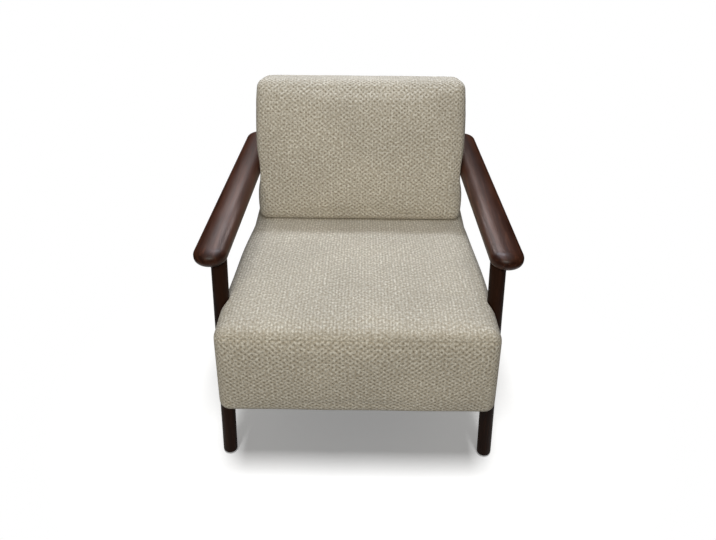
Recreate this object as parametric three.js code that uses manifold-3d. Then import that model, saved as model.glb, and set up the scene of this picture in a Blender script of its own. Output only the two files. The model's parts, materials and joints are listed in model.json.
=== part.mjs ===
// Fireside chair: a padded seat block and a padded back block on a wooden frame, carried by two
// tall front legs, two short rear legs and a pair of solid wood armrests.
// Millimetres. X runs across the chair, Y from the front to the rear, Z up from the floor.
// Left and right are as seen from the front. While it is drawn, Y is zero at the front legs.
import * as THREE from 'three';
import { mergeVertices } from 'three/addons/utils/BufferGeometryUtils.js';
import Module from 'manifold-3d';

// Fits that many pieces share
const clearance = 0.3; // between two pieces that meet
const overrun = 12; // how far a cutter passes the face that it cuts
const coverThickness = 2.2; // woven cover with its backing

// Armrests
const armWidth = 70.5;
const armThickness = 38;
const armRearOverhang = 48.25; // from the middle between its bolts to the rear end's centre
const armEdgeProud = 3.25; // inner edge past the inner side of the front leg's top
const armRearOutset = 15.5; // rear end's centre outside the seat's rear half width
const armRise = 141; // top face over the front legs, above the seat
const armFall = 9; // how much lower the top face is at the rear end
const armEdgeDrop = 16; // height of the rounding along the edges
const armEdgeInset = 19; // width of the rounding along the edges

// Legs and glides
const legDiameter = 34;
const legFootRound = 5;
const frontFootOutset = 24.5; // foot's middle outside the seat's front half width
const frontLegTopInset = 4.5; // leg's middle inside it, at the underside of the armrest
const rearLegSplayDegrees = 8;
const rearLegRakeDegrees = 7;
const glideDiameter = 22;
const glideThickness = 4;
const glideEdgeRound = 1.2;
const glideNailDiameter = 3;
const glideNailLength = 12;

// Seat block, outside sizes of its cover
const seatOverhang = 135; // front face ahead of the front legs
const seatUnderside = 262;
const seatTop = 458;
const seatFrontHalfWidth = 292;
const seatTaper = 28; // how much narrower it is on each side, from the back's front face to the rear
const seatEdgeRadius = 24;
const seatFrontRise = 20; // how much higher the top is at the front than under the back
const seatFrontLean = 8; // top of the front face behind its foot
const seatCrown = 7;
const seatFrontCrown = 6;
const seatFootFlare = 3;
const seatSideDraw = 4; // sides drawn in at half height
const seatFlangeWidth = 45; // cover turned under the frame

// Back block, outside sizes of its cover
const backSetback = 354; // front face at seat height, behind the front legs
const backReclineDegrees = 15.2;
const backFaceLength = 348;
const backFootInset = 4; // inside the seat's rear half width
const backTopInset = 10;
const backEdgeRadius = 26;
const backFaceCrown = 10;
const backTopCrown = 5;
const backRearCrown = 4;
const backSideCrown = 3;
const backSink = 8; // height of the rounded foot that is cut flat where the back sits on the seat
const pinchSpread = 35; // how far above and below the armrest the side is drawn in

// Rear face, one plane from the top of the back to the underside of the seat
const rearSetback = 590; // at seat height, behind the front legs
const rearLeanDegrees = 5;

// Wooden frame
const railThickness = 25;
const railHeight = 100;
const rearRailThickness = 25;
const frontPadding = 30; // from the front face to the front rail
const frontSidePadding = 32; // from the side face to the side rail
const rearSidePadding = 25.5;
const rearPadding = 14; // from the rear face to the posts
const postWidth = 35;
const postDepth = 60;
const postTopPadding = 20; // from the rear top edge down to the posts
const backRailHeight = 50;
const backRailThickness = 22;
const backRailRise = 16; // lower back rail above the seat
const blockLeg = 62; // short sides of a corner block, from rail to rail
const blockHeight = 55;

// Webbing
const strapWidth = 50;
const strapThickness = 2.4;
const strapEndMargin = 4;
const seatStrapPitch = 88;
const seatStrapCount = 4;
const crossStrapPitch = 150;
const crossStrapCount = 3;
const backStrapPitch = 62;
const backStrapCount = 3;

// Under cover
const dustCoverThickness = 1;

// Fasteners
const boltDiameter = 8;
const boltHeadDiameter = 17;
const boltHeadThickness = 5;
const boltSocketDiameter = 6;
const boltSocketDepth = 3;
const boltTipGap = 1; // between a bolt's tip and the end of its insert
const insertDiameter = 12;
const insertLength = 15;
const insertDepth = 1.5; // below the face of the wood
const legBoltSpacing = 44;
const armBoltSpacing = 28;
const studLength = 44; // in the rear leg
const dowelDiameter = 14;
const dowelLength = 44;
const dowelChamfer = 1.5;

// Steps of the faceted surfaces
const legSides = 20;
const smallSides = 12;
const armEndSteps = 9;
const armEdgeSteps = 4;
const coverCornerSteps = 2;
const foamCornerSteps = 1;
const seatAcrossSteps = 4;
const seatOpenSteps = 5; // in front of the back
const seatCoveredSteps = 1; // under the back
const seatSideSteps = 2;
const backSpans = [[{ steps: 6 }], [{ steps: 2 }], [{ steps: 7 }]];

const walnut = { color: '#3a2621', roughness: 0.42, metalness: 0 };
const beech = { color: '#c4a176', roughness: 0.7, metalness: 0 };
const weave = { color: '#b3a995', roughness: 0.95, metalness: 0 };
const foam = { color: '#e6d9b4', roughness: 1, metalness: 0 };
const webbing = { color: '#2f2f2e', roughness: 0.9, metalness: 0 };
const underCloth = { color: '#1b1b1d', roughness: 1, metalness: 0 };
const steel = { color: '#a5a6a4', roughness: 0.35, metalness: 1 };
const nylon = { color: '#222222', roughness: 0.6, metalness: 0 };

const wasm = await Module();
wasm.setup();

const radians = THREE.MathUtils.degToRad;
const lerp = THREE.MathUtils.lerp;
const sides = { left: -1, right: 1 };

const chair = new THREE.Group();
const cutters = [];

function addPiece(parent, name, finish, geometry) {
  const piece = new THREE.Mesh(geometry, new THREE.MeshStandardMaterial(finish));
  piece.name = name;
  parent.add(piece);
  return piece;
}

// A cutter stands in the same groups as the pieces and is taken out when the chair is done
function addCutter(parent, geometry) {
  const cutter = new THREE.Mesh(geometry);
  parent.add(cutter);
  cutters.push(cutter);
  return cutter;
}

function addGroup(position, rotation = new THREE.Euler()) {
  const group = new THREE.Group();
  group.position.copy(position);
  group.rotation.copy(rotation);
  chair.add(group);
  return group;
}

// The mesh as a solid, in the frame of another mesh
function solidIn(frame, mesh) {
  mesh.updateWorldMatrix(true, false);
  frame.updateWorldMatrix(true, false);
  const geometry = mesh.geometry.clone();
  geometry.deleteAttribute('normal');
  geometry.deleteAttribute('uv');
  geometry.applyMatrix4(frame.matrixWorld.clone().invert().multiply(mesh.matrixWorld));
  const merged = mergeVertices(geometry);
  const corners = merged.index.array;
  const triangles = [];
  for (let at = 0; at < corners.length; at += 3) {
    const [a, b, c] = corners.slice(at, at + 3);
    if (a !== b && b !== c && c !== a) triangles.push(a, b, c);
  }
  const vertProperties = merged.attributes.position.array;
  return new wasm.Manifold(new wasm.Mesh({ numProp: 3, vertProperties, triVerts: new Uint32Array(triangles) }));
}

function carve(piece, tools) {
  const solid = tools.reduce((rest, tool) => rest.subtract(solidIn(piece, tool)), solidIn(piece, piece));
  const { vertProperties, triVerts } = solid.getMesh();
  piece.geometry = new THREE.BufferGeometry();
  piece.geometry.setAttribute('position', new THREE.BufferAttribute(vertProperties, 3));
  piece.geometry.setIndex(new THREE.BufferAttribute(triVerts, 1));
  piece.geometry.computeVertexNormals();
}

// A round bar along Z
function rod(diameter, from, to, count = smallSides) {
  const geometry = new THREE.CylinderGeometry(diameter / 2, diameter / 2, to - from, count);
  return geometry.rotateX(Math.PI / 2).translate(0, 0, (from + to) / 2);
}

// A turned shape about Z from its profile of radius and height
function turned(profile, count = smallSides) {
  const points = profile.map(([radius, height]) => new THREE.Vector2(radius, height));
  return new THREE.LatheGeometry(points, count).rotateX(Math.PI / 2);
}

// A block from one corner to the opposite one
function block(low, high) {
  const size = high.clone().sub(low);
  const middle = high.clone().add(low).divideScalar(2);
  return new THREE.BoxGeometry(size.x, size.y, size.z).translate(middle.x, middle.y, middle.z);
}

// Grid lines across one side of a padded block, close together round its edges; a span may be
// divided at places of its own, each with its number of steps
function gridLines(half, radius, cornerSteps, spans) {
  const edge = Array.from({ length: cornerSteps }, (_, step) => Math.tan((Math.PI / 4) * (1 - step / cornerSteps)));
  const low = edge.map((reach) => radius - half - radius * reach);
  const lines = [...low, radius - half];
  for (const { to = half - radius, steps } of spans) {
    const from = lines.at(-1);
    for (let step = 1; step <= steps; step += 1) lines.push(lerp(from, to, step / steps));
  }
  return [...lines, ...low.map((line) => -line).reverse()];
}

// A box with rounded edges on those grid lines, then bent by a shape function of its points
function paddedBlock(half, radius, cornerSteps, spans, shapePoint) {
  const lines = half.toArray().map((size, axis) => gridLines(size, radius, cornerSteps, spans[axis]));
  const counts = lines.map((line) => line.length - 1);
  const geometry = new THREE.BoxGeometry(...counts, ...counts);
  geometry.translate(...counts.map((count) => count / 2));
  const core = half.clone().subScalar(radius);
  const points = geometry.attributes.position;
  const point = new THREE.Vector3();
  for (let index = 0; index < points.count; index += 1) {
    point.fromBufferAttribute(points, index);
    point.fromArray(point.toArray().map((line, axis) => lines[axis][Math.round(line)]));
    const middle = point.clone().clamp(core.clone().negate(), core);
    point.sub(middle).setLength(radius).add(middle);
    points.setXYZ(index, ...shapePoint(point));
  }
  return geometry;
}

// Planes and lines that the pieces share
const rearSlope = Math.tan(radians(rearLeanDegrees));
const faceSlope = Math.tan(radians(backReclineDegrees));
const rearFaceAt = (height) => rearSetback + (height - seatTop) * rearSlope;
const backFaceAt = (height) => backSetback + (height - seatTop) * faceSlope;
const armFrontTop = seatTop + armRise;
const armRearTop = armFrontTop - armFall;
const seatRearHalfWidth = seatFrontHalfWidth - seatTaper;
const backFootHalfWidth = seatRearHalfWidth - backFootInset;
const backTopHalfWidth = seatRearHalfWidth - backTopInset;
const frontFootHalfSpan = seatFrontHalfWidth + frontFootOutset;
const frontLegTopHalfSpan = seatFrontHalfWidth - frontLegTopInset;
const armFrontHalfSpan = frontLegTopHalfSpan + (armWidth - legDiameter) / 2 - armEdgeProud;
const armRearHalfSpan = seatRearHalfWidth + armRearOutset;
const postCentreAt = (height) => rearFaceAt(height) - rearPadding - postDepth / 2;
const armBoltCentre = postCentreAt(armRearTop - armThickness / 2);
const armLength = armBoltCentre + armRearOverhang; // between the centres of the two round ends
const armShareAt = (y) => y / armLength;
const armCentreAt = (y) => lerp(armFrontHalfSpan, armRearHalfSpan, armShareAt(y));
const armMiddleAt = (y) => lerp(armFrontTop, armRearTop, armShareAt(y)) - armThickness / 2;
const armUnderside = armFrontTop - armThickness;
const frontLegLean = Math.atan((frontFootHalfSpan - frontLegTopHalfSpan) / armUnderside);
const frontLegAt = (height) => frontFootHalfSpan - height * Math.tan(frontLegLean);
const frameBottom = seatUnderside + coverThickness + clearance;
const frameTop = frameBottom + railHeight;
const legBoltCentre = frameBottom + railHeight / 2;
const sideRailTop = frameTop + strapThickness + clearance;
const strapTop = sideRailTop + strapThickness + clearance;
const frontRailY = frontPadding - seatOverhang;
const seatDepth = seatOverhang + rearSetback;
const postOuter = seatRearHalfWidth - rearSidePadding;
const postCentreX = postOuter - postWidth / 2;
const sideRailFront = seatFrontHalfWidth - frontSidePadding;
const sideRailRun = postCentreAt(frameBottom) - frontRailY;
const sideRailToe = Math.atan((sideRailFront - postOuter) / sideRailRun);
const sideRailAt = (y) => sideRailFront - (y - frontRailY) * Math.tan(sideRailToe);

// Top edge of the back: the top face stands square to the front face and ends at the rear plane
const recline = radians(backReclineDegrees);
const backTopFront = new THREE.Vector2(
  backSetback + backFaceLength * Math.sin(recline),
  seatTop + backFaceLength * Math.cos(recline),
);
const backTopDepth = (rearFaceAt(backTopFront.y) - backTopFront.x) / (Math.cos(recline) + Math.sin(recline) * rearSlope);
const backTopRear = new THREE.Vector2(
  backTopFront.x + backTopDepth * Math.cos(recline),
  backTopFront.y - backTopDepth * Math.sin(recline),
);
const postTop = backTopRear.y - postTopPadding;

// Placements
const origin = new THREE.Vector3();
const lean = new THREE.Euler(-radians(rearLeanDegrees), 0, 0);
const postFoot = new THREE.Vector3(0, postCentreAt(frameBottom), frameBottom);
const body = addGroup(origin);
const leanFrame = addGroup(postFoot, lean);
const leanLength = (height) => (height - frameBottom) / Math.cos(radians(rearLeanDegrees));

function armGroup(side) {
  const drop = Math.atan((armFrontTop - armRearTop) / armLength);
  const toe = Math.atan((armFrontHalfSpan - armRearHalfSpan) / armLength);
  const place = new THREE.Vector3(side * armFrontHalfSpan, 0, armMiddleAt(0));
  return addGroup(place, new THREE.Euler(-drop, 0, side * toe, 'ZXY'));
}

function frontLegGroup(side) {
  const place = new THREE.Vector3(side * frontFootHalfSpan, 0, 0);
  return addGroup(place, new THREE.Euler(0, -side * frontLegLean, 0));
}

// A rear leg hangs from the foot of its post
const rearLegTurn = (side) => new THREE.Euler(radians(rearLegRakeDegrees), -side * radians(rearLegSplayDegrees), 0);
const rearLegTop = (side) => new THREE.Vector3(side * postCentreX, postFoot.y, frameBottom - clearance);
const rearLegGroup = (side) => addGroup(rearLegTop(side), rearLegTurn(side));

function rearFootOf(side) {
  const down = new THREE.Vector3(0, 0, -1).applyEuler(rearLegTurn(side));
  return rearLegTop(side).addScaledVector(down, (glideThickness - rearLegTop(side).z) / down.z);
}

function sideRailGroup(side) {
  const place = new THREE.Vector3(side * sideRailFront, frontRailY, frameBottom);
  return addGroup(place, new THREE.Euler(0, 0, side * sideRailToe));
}

// An armrest is a plank with round ends and rounded edges; grow makes the same form larger
function armGeometry(grow) {
  const radius = armWidth / 2 + grow;
  const outline = new THREE.Shape();
  outline.absarc(0, 0, radius, Math.PI, 2 * Math.PI);
  outline.absarc(0, armLength, radius, 0, Math.PI);
  const drop = armEdgeDrop + grow;
  const inset = armEdgeInset + grow;
  const depth = armThickness + 2 * grow - 2 * drop;
  const edge = { bevelThickness: drop, bevelSize: inset, bevelOffset: -inset, bevelSegments: armEdgeSteps };
  const geometry = new THREE.ExtrudeGeometry(outline, { depth, curveSegments: armEndSteps, ...edge });
  return geometry.translate(0, 0, -depth / 2);
}

// A leg along Z, rounded at the foot, which is at the start
function legGeometry(from, to) {
  const radius = legDiameter / 2;
  const quarter = [0, Math.PI / 6, Math.PI / 3, Math.PI / 2];
  const foot = quarter.map((turn) => [
    radius - legFootRound * (1 - Math.sin(turn)),
    from + legFootRound * (1 - Math.cos(turn)),
  ]);
  return turned([[0, from], ...foot, [radius, to], [0, to]], legSides);
}

function glideGeometry() {
  const radius = glideDiameter / 2;
  const nail = glideNailDiameter / 2;
  const top = glideThickness + glideNailLength;
  return turned([
    [0, 0],
    [radius - glideEdgeRound, 0],
    [radius, glideEdgeRound],
    [radius, glideThickness],
    [nail, glideThickness],
    [nail, top - nail],
    [0, top],
  ]);
}

// A bolt with its head below zero, a socket in the head, and its shank along Z
function boltGeometry(length) {
  const shank = boltDiameter / 2;
  const head = boltHeadDiameter / 2;
  const socket = boltSocketDiameter / 2;
  return turned([
    [0, boltSocketDepth - boltHeadThickness],
    [socket, boltSocketDepth - boltHeadThickness],
    [socket, -boltHeadThickness],
    [head, -boltHeadThickness],
    [head, 0],
    [shank, 0],
    [shank, length],
    [0, length],
  ]);
}

function insertGeometry() {
  const inner = boltDiameter / 2 + clearance;
  const outer = insertDiameter / 2;
  return turned([[inner, 0], [outer, 0], [outer, insertLength], [inner, insertLength], [inner, 0]]);
}

function dowelGeometry(from, to) {
  const radius = dowelDiameter / 2;
  return turned([
    [0, from],
    [radius - dowelChamfer, from],
    [radius, from + dowelChamfer],
    [radius, to - dowelChamfer],
    [radius - dowelChamfer, to],
    [0, to],
  ]);
}

// The inside of a cover, and the foam in it, have simpler corners than its outside
const cornerStepsAt = (inset) => (inset > 0 ? foamCornerSteps : coverCornerSteps);

// The seat block, drawn in by inset all round
function seatGeometry(inset) {
  const half = new THREE.Vector3(seatFrontHalfWidth, seatDepth / 2, (seatTop - seatUnderside) / 2);
  const openDepth = seatOverhang + backSetback;
  const backEdge = { to: (2 * openDepth / seatDepth - 1) * half.y, steps: seatOpenSteps };
  const spans = [[{ steps: seatAcrossSteps }], [backEdge, { steps: seatCoveredSteps }], [{ steps: seatSideSteps }]];
  const inner = half.clone().subScalar(inset);
  return paddedBlock(inner, seatEdgeRadius - inset, cornerStepsAt(inset), spans, (point) => {
    const across = point.x / half.x;
    const along = point.y / half.y;
    const up = point.z / half.z;
    const height = (seatTop + seatUnderside) / 2 + point.z;
    const front = seatFrontLean * (1 + up) / 2 - seatOverhang;
    const y = lerp(front, rearFaceAt(height), (1 + along) / 2);
    const reach = THREE.MathUtils.clamp((1 + along) / 2 * seatDepth / openDepth, 0, 1);
    const flare = seatFootFlare * (1 - up) / 2 - seatSideDraw * (1 - up ** 2);
    const halfWidth = lerp(seatFrontHalfWidth, seatRearHalfWidth, reach ** 2) + flare;
    const crown = seatCrown * (1 - across ** 2) * Math.sin(Math.PI * reach);
    const rise = (seatFrontRise * (1 - reach) + crown) * Math.max(0, up) ** 2;
    const bulge = seatFrontCrown * (1 - across ** 2) * (1 - up ** 2) * Math.max(0, -along) ** 8;
    return [across * halfWidth, y - bulge, height + rise];
  });
}

// How far a side of the back, which is at halfWidth, is drawn in beside an armrest
function pinchAt(y, height, halfWidth) {
  const gap = Math.max(0, Math.abs(height - armMiddleAt(y)) - armThickness / 2 + armEdgeDrop);
  const depth = Math.max(0, halfWidth + clearance + armWidth / 2 - armCentreAt(y));
  return depth * Math.exp(-((gap / pinchSpread) ** 2));
}

// The back block, drawn in by inset all round; its foot reaches below the seat's top
function backGeometry(inset) {
  const foot = seatTop - backSink;
  const half = new THREE.Vector3(backFootHalfWidth, (backTopDepth + rearFaceAt(foot) - backFaceAt(foot)) / 4, 0);
  half.z = (backFaceLength + backSink) / 2;
  const inner = half.clone().subScalar(inset);
  return paddedBlock(inner, backEdgeRadius - inset, cornerStepsAt(inset), backSpans, (point) => {
    const across = point.x / half.x;
    const along = point.y / half.y;
    const up = point.z / half.z;
    const rise = (1 + up) / 2;
    const front = new THREE.Vector2(backFaceAt(foot), foot).lerp(backTopFront, rise);
    const rear = new THREE.Vector2(rearFaceAt(foot), foot).lerp(backTopRear, rise);
    const spot = front.lerp(rear, (1 + along) / 2);
    const middle = 1 - across ** 2;
    const bulge = backFaceCrown * Math.max(0, -along) ** 3 - backRearCrown * Math.max(0, along) ** 3;
    const y = spot.x - bulge * middle * (1 - up ** 2);
    const height = spot.y + backTopCrown * middle * (1 - along ** 2) * Math.max(0, up) ** 3;
    const halfWidth = lerp(backFootHalfWidth, backTopHalfWidth, rise) + backSideCrown * (1 - up ** 2);
    return [across * (halfWidth - pinchAt(y, height, halfWidth)), y, height];
  });
}

// Large blocks that trim pieces at a level
const reachOut = new THREE.Vector3(2 * seatFrontHalfWidth, 2 * seatDepth, 2 * backTopFront.y);
const belowLevel = (level) => block(reachOut.clone().negate(), new THREE.Vector3(reachOut.x, reachOut.y, level));
const aboveLevel = (level) => block(new THREE.Vector3(-reachOut.x, -reachOut.y, level), reachOut);
const belowFrame = addCutter(body, belowLevel(frameBottom));
const belowGlides = addCutter(body, belowLevel(glideThickness + clearance));
const aboveRearLegs = addCutter(body, aboveLevel(frameBottom - clearance));
const beforeRails = addCutter(body, block(reachOut.clone().negate(), reachOut.clone().setY(frontRailY)));
const belowBack = addCutter(body, belowLevel(seatTop + clearance));

// Seat frame
const rearRailY = postCentreAt(frameBottom + railHeight / 2) - rearRailThickness / 2;

function sideRailGeometry(side, grow) {
  const length = sideRailRun / Math.cos(sideRailToe);
  const low = new THREE.Vector3(side * (-railThickness - grow), -overrun, -grow);
  const high = new THREE.Vector3(side * grow, length, sideRailTop - frameBottom + grow);
  return block(low.clone().min(high), high.clone().max(low));
}

function postGeometry(side, grow) {
  const x = new THREE.Vector3(side * postCentreX, 0, 0);
  const reach = new THREE.Vector3(postWidth / 2 + grow, postDepth / 2 + grow, 0);
  const low = x.clone().sub(reach).setZ(-overrun);
  const high = x.clone().add(reach).setZ(leanLength(postTop) + grow);
  return block(low, high);
}

// The front rail starts out reaching into the side rails and is trimmed to their faces
function frontRailGeometry(grow) {
  const reach = sideRailFront - railThickness / 2;
  const low = new THREE.Vector3(-reach, frontRailY - grow, frameBottom - grow);
  const high = new THREE.Vector3(reach, frontRailY + railThickness + grow, frameTop + grow);
  return block(low, high);
}

const railGroups = {};
const postCutters = {};
const railCutters = {};
const posts = {};
const sideRails = {};
for (const [word, side] of Object.entries(sides)) {
  railGroups[word] = sideRailGroup(side);
  postCutters[word] = addCutter(leanFrame, postGeometry(side, clearance));
  railCutters[word] = addCutter(railGroups[word], sideRailGeometry(side, clearance));
  posts[word] = addPiece(leanFrame, `back_${word}_post`, beech, postGeometry(side, 0));
  carve(posts[word], [belowFrame]);
  sideRails[word] = addPiece(railGroups[word], `seat_${word}_rail`, beech, sideRailGeometry(side, 0));
  carve(sideRails[word], [beforeRails, postCutters[word]]);
}

const frontRail = addPiece(body, 'seat_front_rail', beech, frontRailGeometry(0));
const frontRailCutter = addCutter(body, frontRailGeometry(clearance));
carve(frontRail, Object.values(railCutters));

const betweenPosts = postCentreX - postWidth / 2 - clearance;
function rearRailGeometry(grow) {
  const low = new THREE.Vector3(-betweenPosts - grow, rearRailY - grow, frameBottom - grow);
  const high = new THREE.Vector3(betweenPosts + grow, rearRailY + rearRailThickness, frameTop + grow);
  return block(low, high);
}
addPiece(body, 'seat_rear_rail', beech, rearRailGeometry(0));
const rearRailCutter = addCutter(body, rearRailGeometry(clearance));

// Three-cornered glue blocks; each starts inside its rails and is trimmed to their faces
function cornerBlockGeometry(side, direction) {
  const start = -railThickness / 2;
  const reach = blockLeg - start;
  const outline = new THREE.Shape([
    new THREE.Vector2(start, start),
    new THREE.Vector2(reach, start),
    new THREE.Vector2(start, reach),
  ]);
  const geometry = new THREE.ExtrudeGeometry(outline, { depth: blockHeight, bevelEnabled: false });
  const mirrored = side * direction > 0;
  if (mirrored) geometry.rotateZ(Math.PI / 2);
  return geometry.rotateZ(direction > 0 ? 0 : Math.PI);
}

for (const [word, side] of Object.entries(sides)) {
  const frontBlock = addPiece(body, `front_${word}_corner_block`, beech, cornerBlockGeometry(side, 1));
  const frontCorner = frontRailY + railThickness;
  frontBlock.position.set(side * (sideRailAt(frontCorner) - railThickness), frontCorner, frameBottom);
  carve(frontBlock, [railCutters[word], frontRailCutter]);
  const rearBlock = addPiece(body, `rear_${word}_corner_block`, beech, cornerBlockGeometry(side, -1));
  rearBlock.position.set(side * (sideRailAt(rearRailY) - railThickness), rearRailY, frameBottom);
  carve(rearBlock, [railCutters[word], rearRailCutter, postCutters[word]]);
}

// Back rails between the posts, one above the seat and one at the top
function addBackRail(name, from) {
  const low = new THREE.Vector3(-betweenPosts, -backRailThickness / 2, from);
  const high = new THREE.Vector3(betweenPosts, backRailThickness / 2, from + backRailHeight);
  addPiece(leanFrame, name, beech, block(low, high));
}
const lowerRailStart = leanLength(seatTop) + backRailRise;
const topRailStart = leanLength(postTop) - backRailHeight;
addBackRail('back_lower_rail', lowerRailStart);
addBackRail('back_top_rail', topRailStart);

// Webbing: straps from front to rear, straps across them, and straps over the back posts
const rowOf = (count, pitch) => Array.from({ length: count }, (_, index) => (index - (count - 1) / 2) * pitch);

rowOf(seatStrapCount, seatStrapPitch).forEach((x, index) => {
  const start = frontRailY + strapEndMargin;
  const end = rearRailY + rearRailThickness - strapEndMargin;
  const low = new THREE.Vector3(x - strapWidth / 2, start, frameTop + clearance);
  const high = new THREE.Vector3(x + strapWidth / 2, end, frameTop + clearance + strapThickness);
  addPiece(body, `seat_strap_${index + 1}`, webbing, block(low, high));
});

const seatMiddleY = (frontRailY + rearRailY) / 2;
rowOf(crossStrapCount, crossStrapPitch).forEach((offset, index) => {
  const y = seatMiddleY + offset;
  const reach = sideRailAt(y + strapWidth / 2) - strapEndMargin;
  const low = new THREE.Vector3(-reach, y - strapWidth / 2, sideRailTop + clearance);
  const high = new THREE.Vector3(reach, y + strapWidth / 2, sideRailTop + clearance + strapThickness);
  addPiece(body, `seat_cross_strap_${index + 1}`, webbing, block(low, high));
});

const backStrapMiddle = (lowerRailStart + backRailHeight + topRailStart) / 2;
const strapFace = -postDepth / 2 - clearance;
rowOf(backStrapCount, backStrapPitch).forEach((offset, index) => {
  const reach = postOuter - strapEndMargin;
  const middle = backStrapMiddle + offset;
  const low = new THREE.Vector3(-reach, strapFace - strapThickness, middle - strapWidth / 2);
  const high = new THREE.Vector3(reach, strapFace, middle + strapWidth / 2);
  addPiece(leanFrame, `back_strap_${index + 1}`, webbing, block(low, high));
});

// Armrests and legs, with cutters of the same form for whatever they pass
const armGroups = {};
const arms = {};
const legGroups = {};
const frontLegs = {};
const legDiameterGrown = (grow) => legDiameter + 2 * grow;
const legReach = (armFrontTop - armThickness / 2) / Math.cos(frontLegLean);
const dowelMiddle = armUnderside / Math.cos(frontLegLean);

for (const [word, side] of Object.entries(sides)) {
  armGroups[word] = armGroup(side);
  legGroups[word] = frontLegGroup(side);
  const arm = addPiece(armGroups[word], `${word}_armrest`, walnut, armGeometry(0));
  const leg = addPiece(legGroups[word], `front_${word}_leg`, walnut, legGeometry(0, legReach));
  const dowelFrom = dowelMiddle - dowelLength / 2;
  const dowelTo = dowelMiddle + dowelLength / 2;
  addPiece(legGroups[word], `${word}_arm_dowel`, beech, dowelGeometry(dowelFrom, dowelTo));
  const dowelBore = rod(dowelDiameter + 2 * clearance, dowelFrom - clearance, dowelTo + clearance);
  const dowelCutter = addCutter(legGroups[word], dowelBore);
  carve(arm, [dowelCutter]);
  carve(leg, [addCutter(armGroups[word], armGeometry(clearance)), belowGlides, dowelCutter]);
  arms[word] = arm;
  frontLegs[word] = leg;
}

const rearLegs = {};
const rearLegCutters = {};
for (const [word, side] of Object.entries(sides)) {
  const group = rearLegGroup(side);
  const length = rearLegTop(side).distanceTo(rearFootOf(side)) + glideThickness;
  const leg = addPiece(group, `rear_${word}_leg`, walnut, legGeometry(-length, overrun));
  const stud = insertDepth + insertLength - boltTipGap;
  addPiece(group, `rear_${word}_leg_stud`, steel, rod(boltDiameter, -studLength, stud));
  const insert = addPiece(group, `rear_${word}_leg_insert`, steel, insertGeometry());
  insert.position.z = insertDepth + clearance;
  const bore = boltDiameter + 2 * clearance;
  const studCutter = addCutter(group, rod(bore, -studLength - clearance, insertLength + overrun));
  const insertEnd = insertDepth + insertLength + 2 * clearance;
  const insertCutter = addCutter(group, rod(insertDiameter + 2 * clearance, -overrun, insertEnd));
  carve(leg, [aboveRearLegs, belowGlides, studCutter]);
  carve(posts[word], [insertCutter]);
  rearLegs[word] = leg;
  rearLegCutters[word] = addCutter(group, rod(legDiameterGrown(clearance), -legDiameter, legDiameter, legSides));
}

// Glides, nailed under the feet
function addGlide(name, leg, x, y) {
  const glide = addPiece(body, name, nylon, glideGeometry());
  glide.position.set(x, y, 0);
  const nailTop = glideThickness + glideNailLength + clearance;
  const bore = addCutter(body, rod(glideNailDiameter + 2 * clearance, 0, nailTop));
  bore.position.set(x, y, 0);
  carve(leg, [bore]);
}
for (const [word, side] of Object.entries(sides)) {
  addGlide(`front_${word}_glide`, frontLegs[word], side * frontLegAt(glideThickness), 0);
  const foot = rearFootOf(side);
  addGlide(`rear_${word}_glide`, rearLegs[word], foot.x, foot.y);
}

// A bolt from inside one wooden piece through the padding into an insert in another
const boltCutters = { seat: [], back: [] };
function addBoltSet(name, group, place, side, start, face, parts, padding) {
  const insertStart = face + insertDepth;
  const bolt = addPiece(group, `${name}_bolt`, steel, boltGeometry(insertStart + insertLength - boltTipGap - start));
  const insert = addPiece(group, `${name}_insert`, steel, insertGeometry());
  const bore = addCutter(group, rod(boltDiameter + 2 * clearance, 0, insertStart - start + overrun));
  const pocket = addCutter(group, rod(insertDiameter + 2 * clearance, -overrun, insertLength + clearance));
  for (const mesh of [bolt, insert, bore, pocket]) {
    mesh.position.copy(place);
    mesh.rotation.y = side * Math.PI / 2;
  }
  for (const mesh of [bolt, bore]) mesh.position.x = side * start;
  for (const mesh of [insert, pocket]) mesh.position.x = side * insertStart;
  carve(parts.from, [bore]);
  carve(parts.into, [pocket]);
  boltCutters[padding].push(bore);
}

for (const [word, side] of Object.entries(sides)) {
  const along = -frontRailY / Math.cos(sideRailToe);
  const parts = { from: sideRails[word], into: frontLegs[word] };
  for (const [level, sign] of [['lower', -1], ['upper', 1]]) {
    const height = legBoltCentre + sign * legBoltSpacing / 2;
    const place = new THREE.Vector3(0, along, height - frameBottom);
    const face = frontLegAt(height) - legDiameter / 2 - sideRailAt(0);
    const name = `front_${word}_leg_${level}`;
    addBoltSet(name, railGroups[word], place, side, -railThickness - clearance, face, parts, 'seat');
  }
}

for (const [word, side] of Object.entries(sides)) {
  const parts = { from: posts[word], into: arms[word] };
  for (const [level, sign] of [['front', -1], ['rear', 1]]) {
    const y = armBoltCentre + sign * armBoltSpacing / 2;
    const place = new THREE.Vector3(0, y, armMiddleAt(y));
    const face = armCentreAt(y) - armWidth / 2;
    const start = postOuter - postWidth - clearance;
    addBoltSet(`${word}_arm_${level}`, body, place, side, start, face, parts, 'back');
  }
}

// Seat cover, foam and under cover
function legCuttersOf(grow) {
  return Object.values(legGroups).map((group) => addCutter(group, rod(legDiameterGrown(grow), 0, legReach, legSides)));
}

function armCuttersOf(grow) {
  return Object.values(armGroups).map((group) => addCutter(group, armGeometry(grow)));
}

// A block whose plan narrows like the rails and whose rear end leans like the rear face
function taperedBlock(low, high, frontY, rearInset, halfWidthAt) {
  const geometry = new THREE.BoxGeometry(2, 2, 2);
  const points = geometry.attributes.position;
  for (let index = 0; index < points.count; index += 1) {
    const height = points.getZ(index) > 0 ? high : low;
    const y = points.getY(index) > 0 ? rearFaceAt(height) - rearInset : frontY;
    points.setXYZ(index, points.getX(index) * halfWidthAt(y), y, height);
  }
  return geometry;
}

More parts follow.
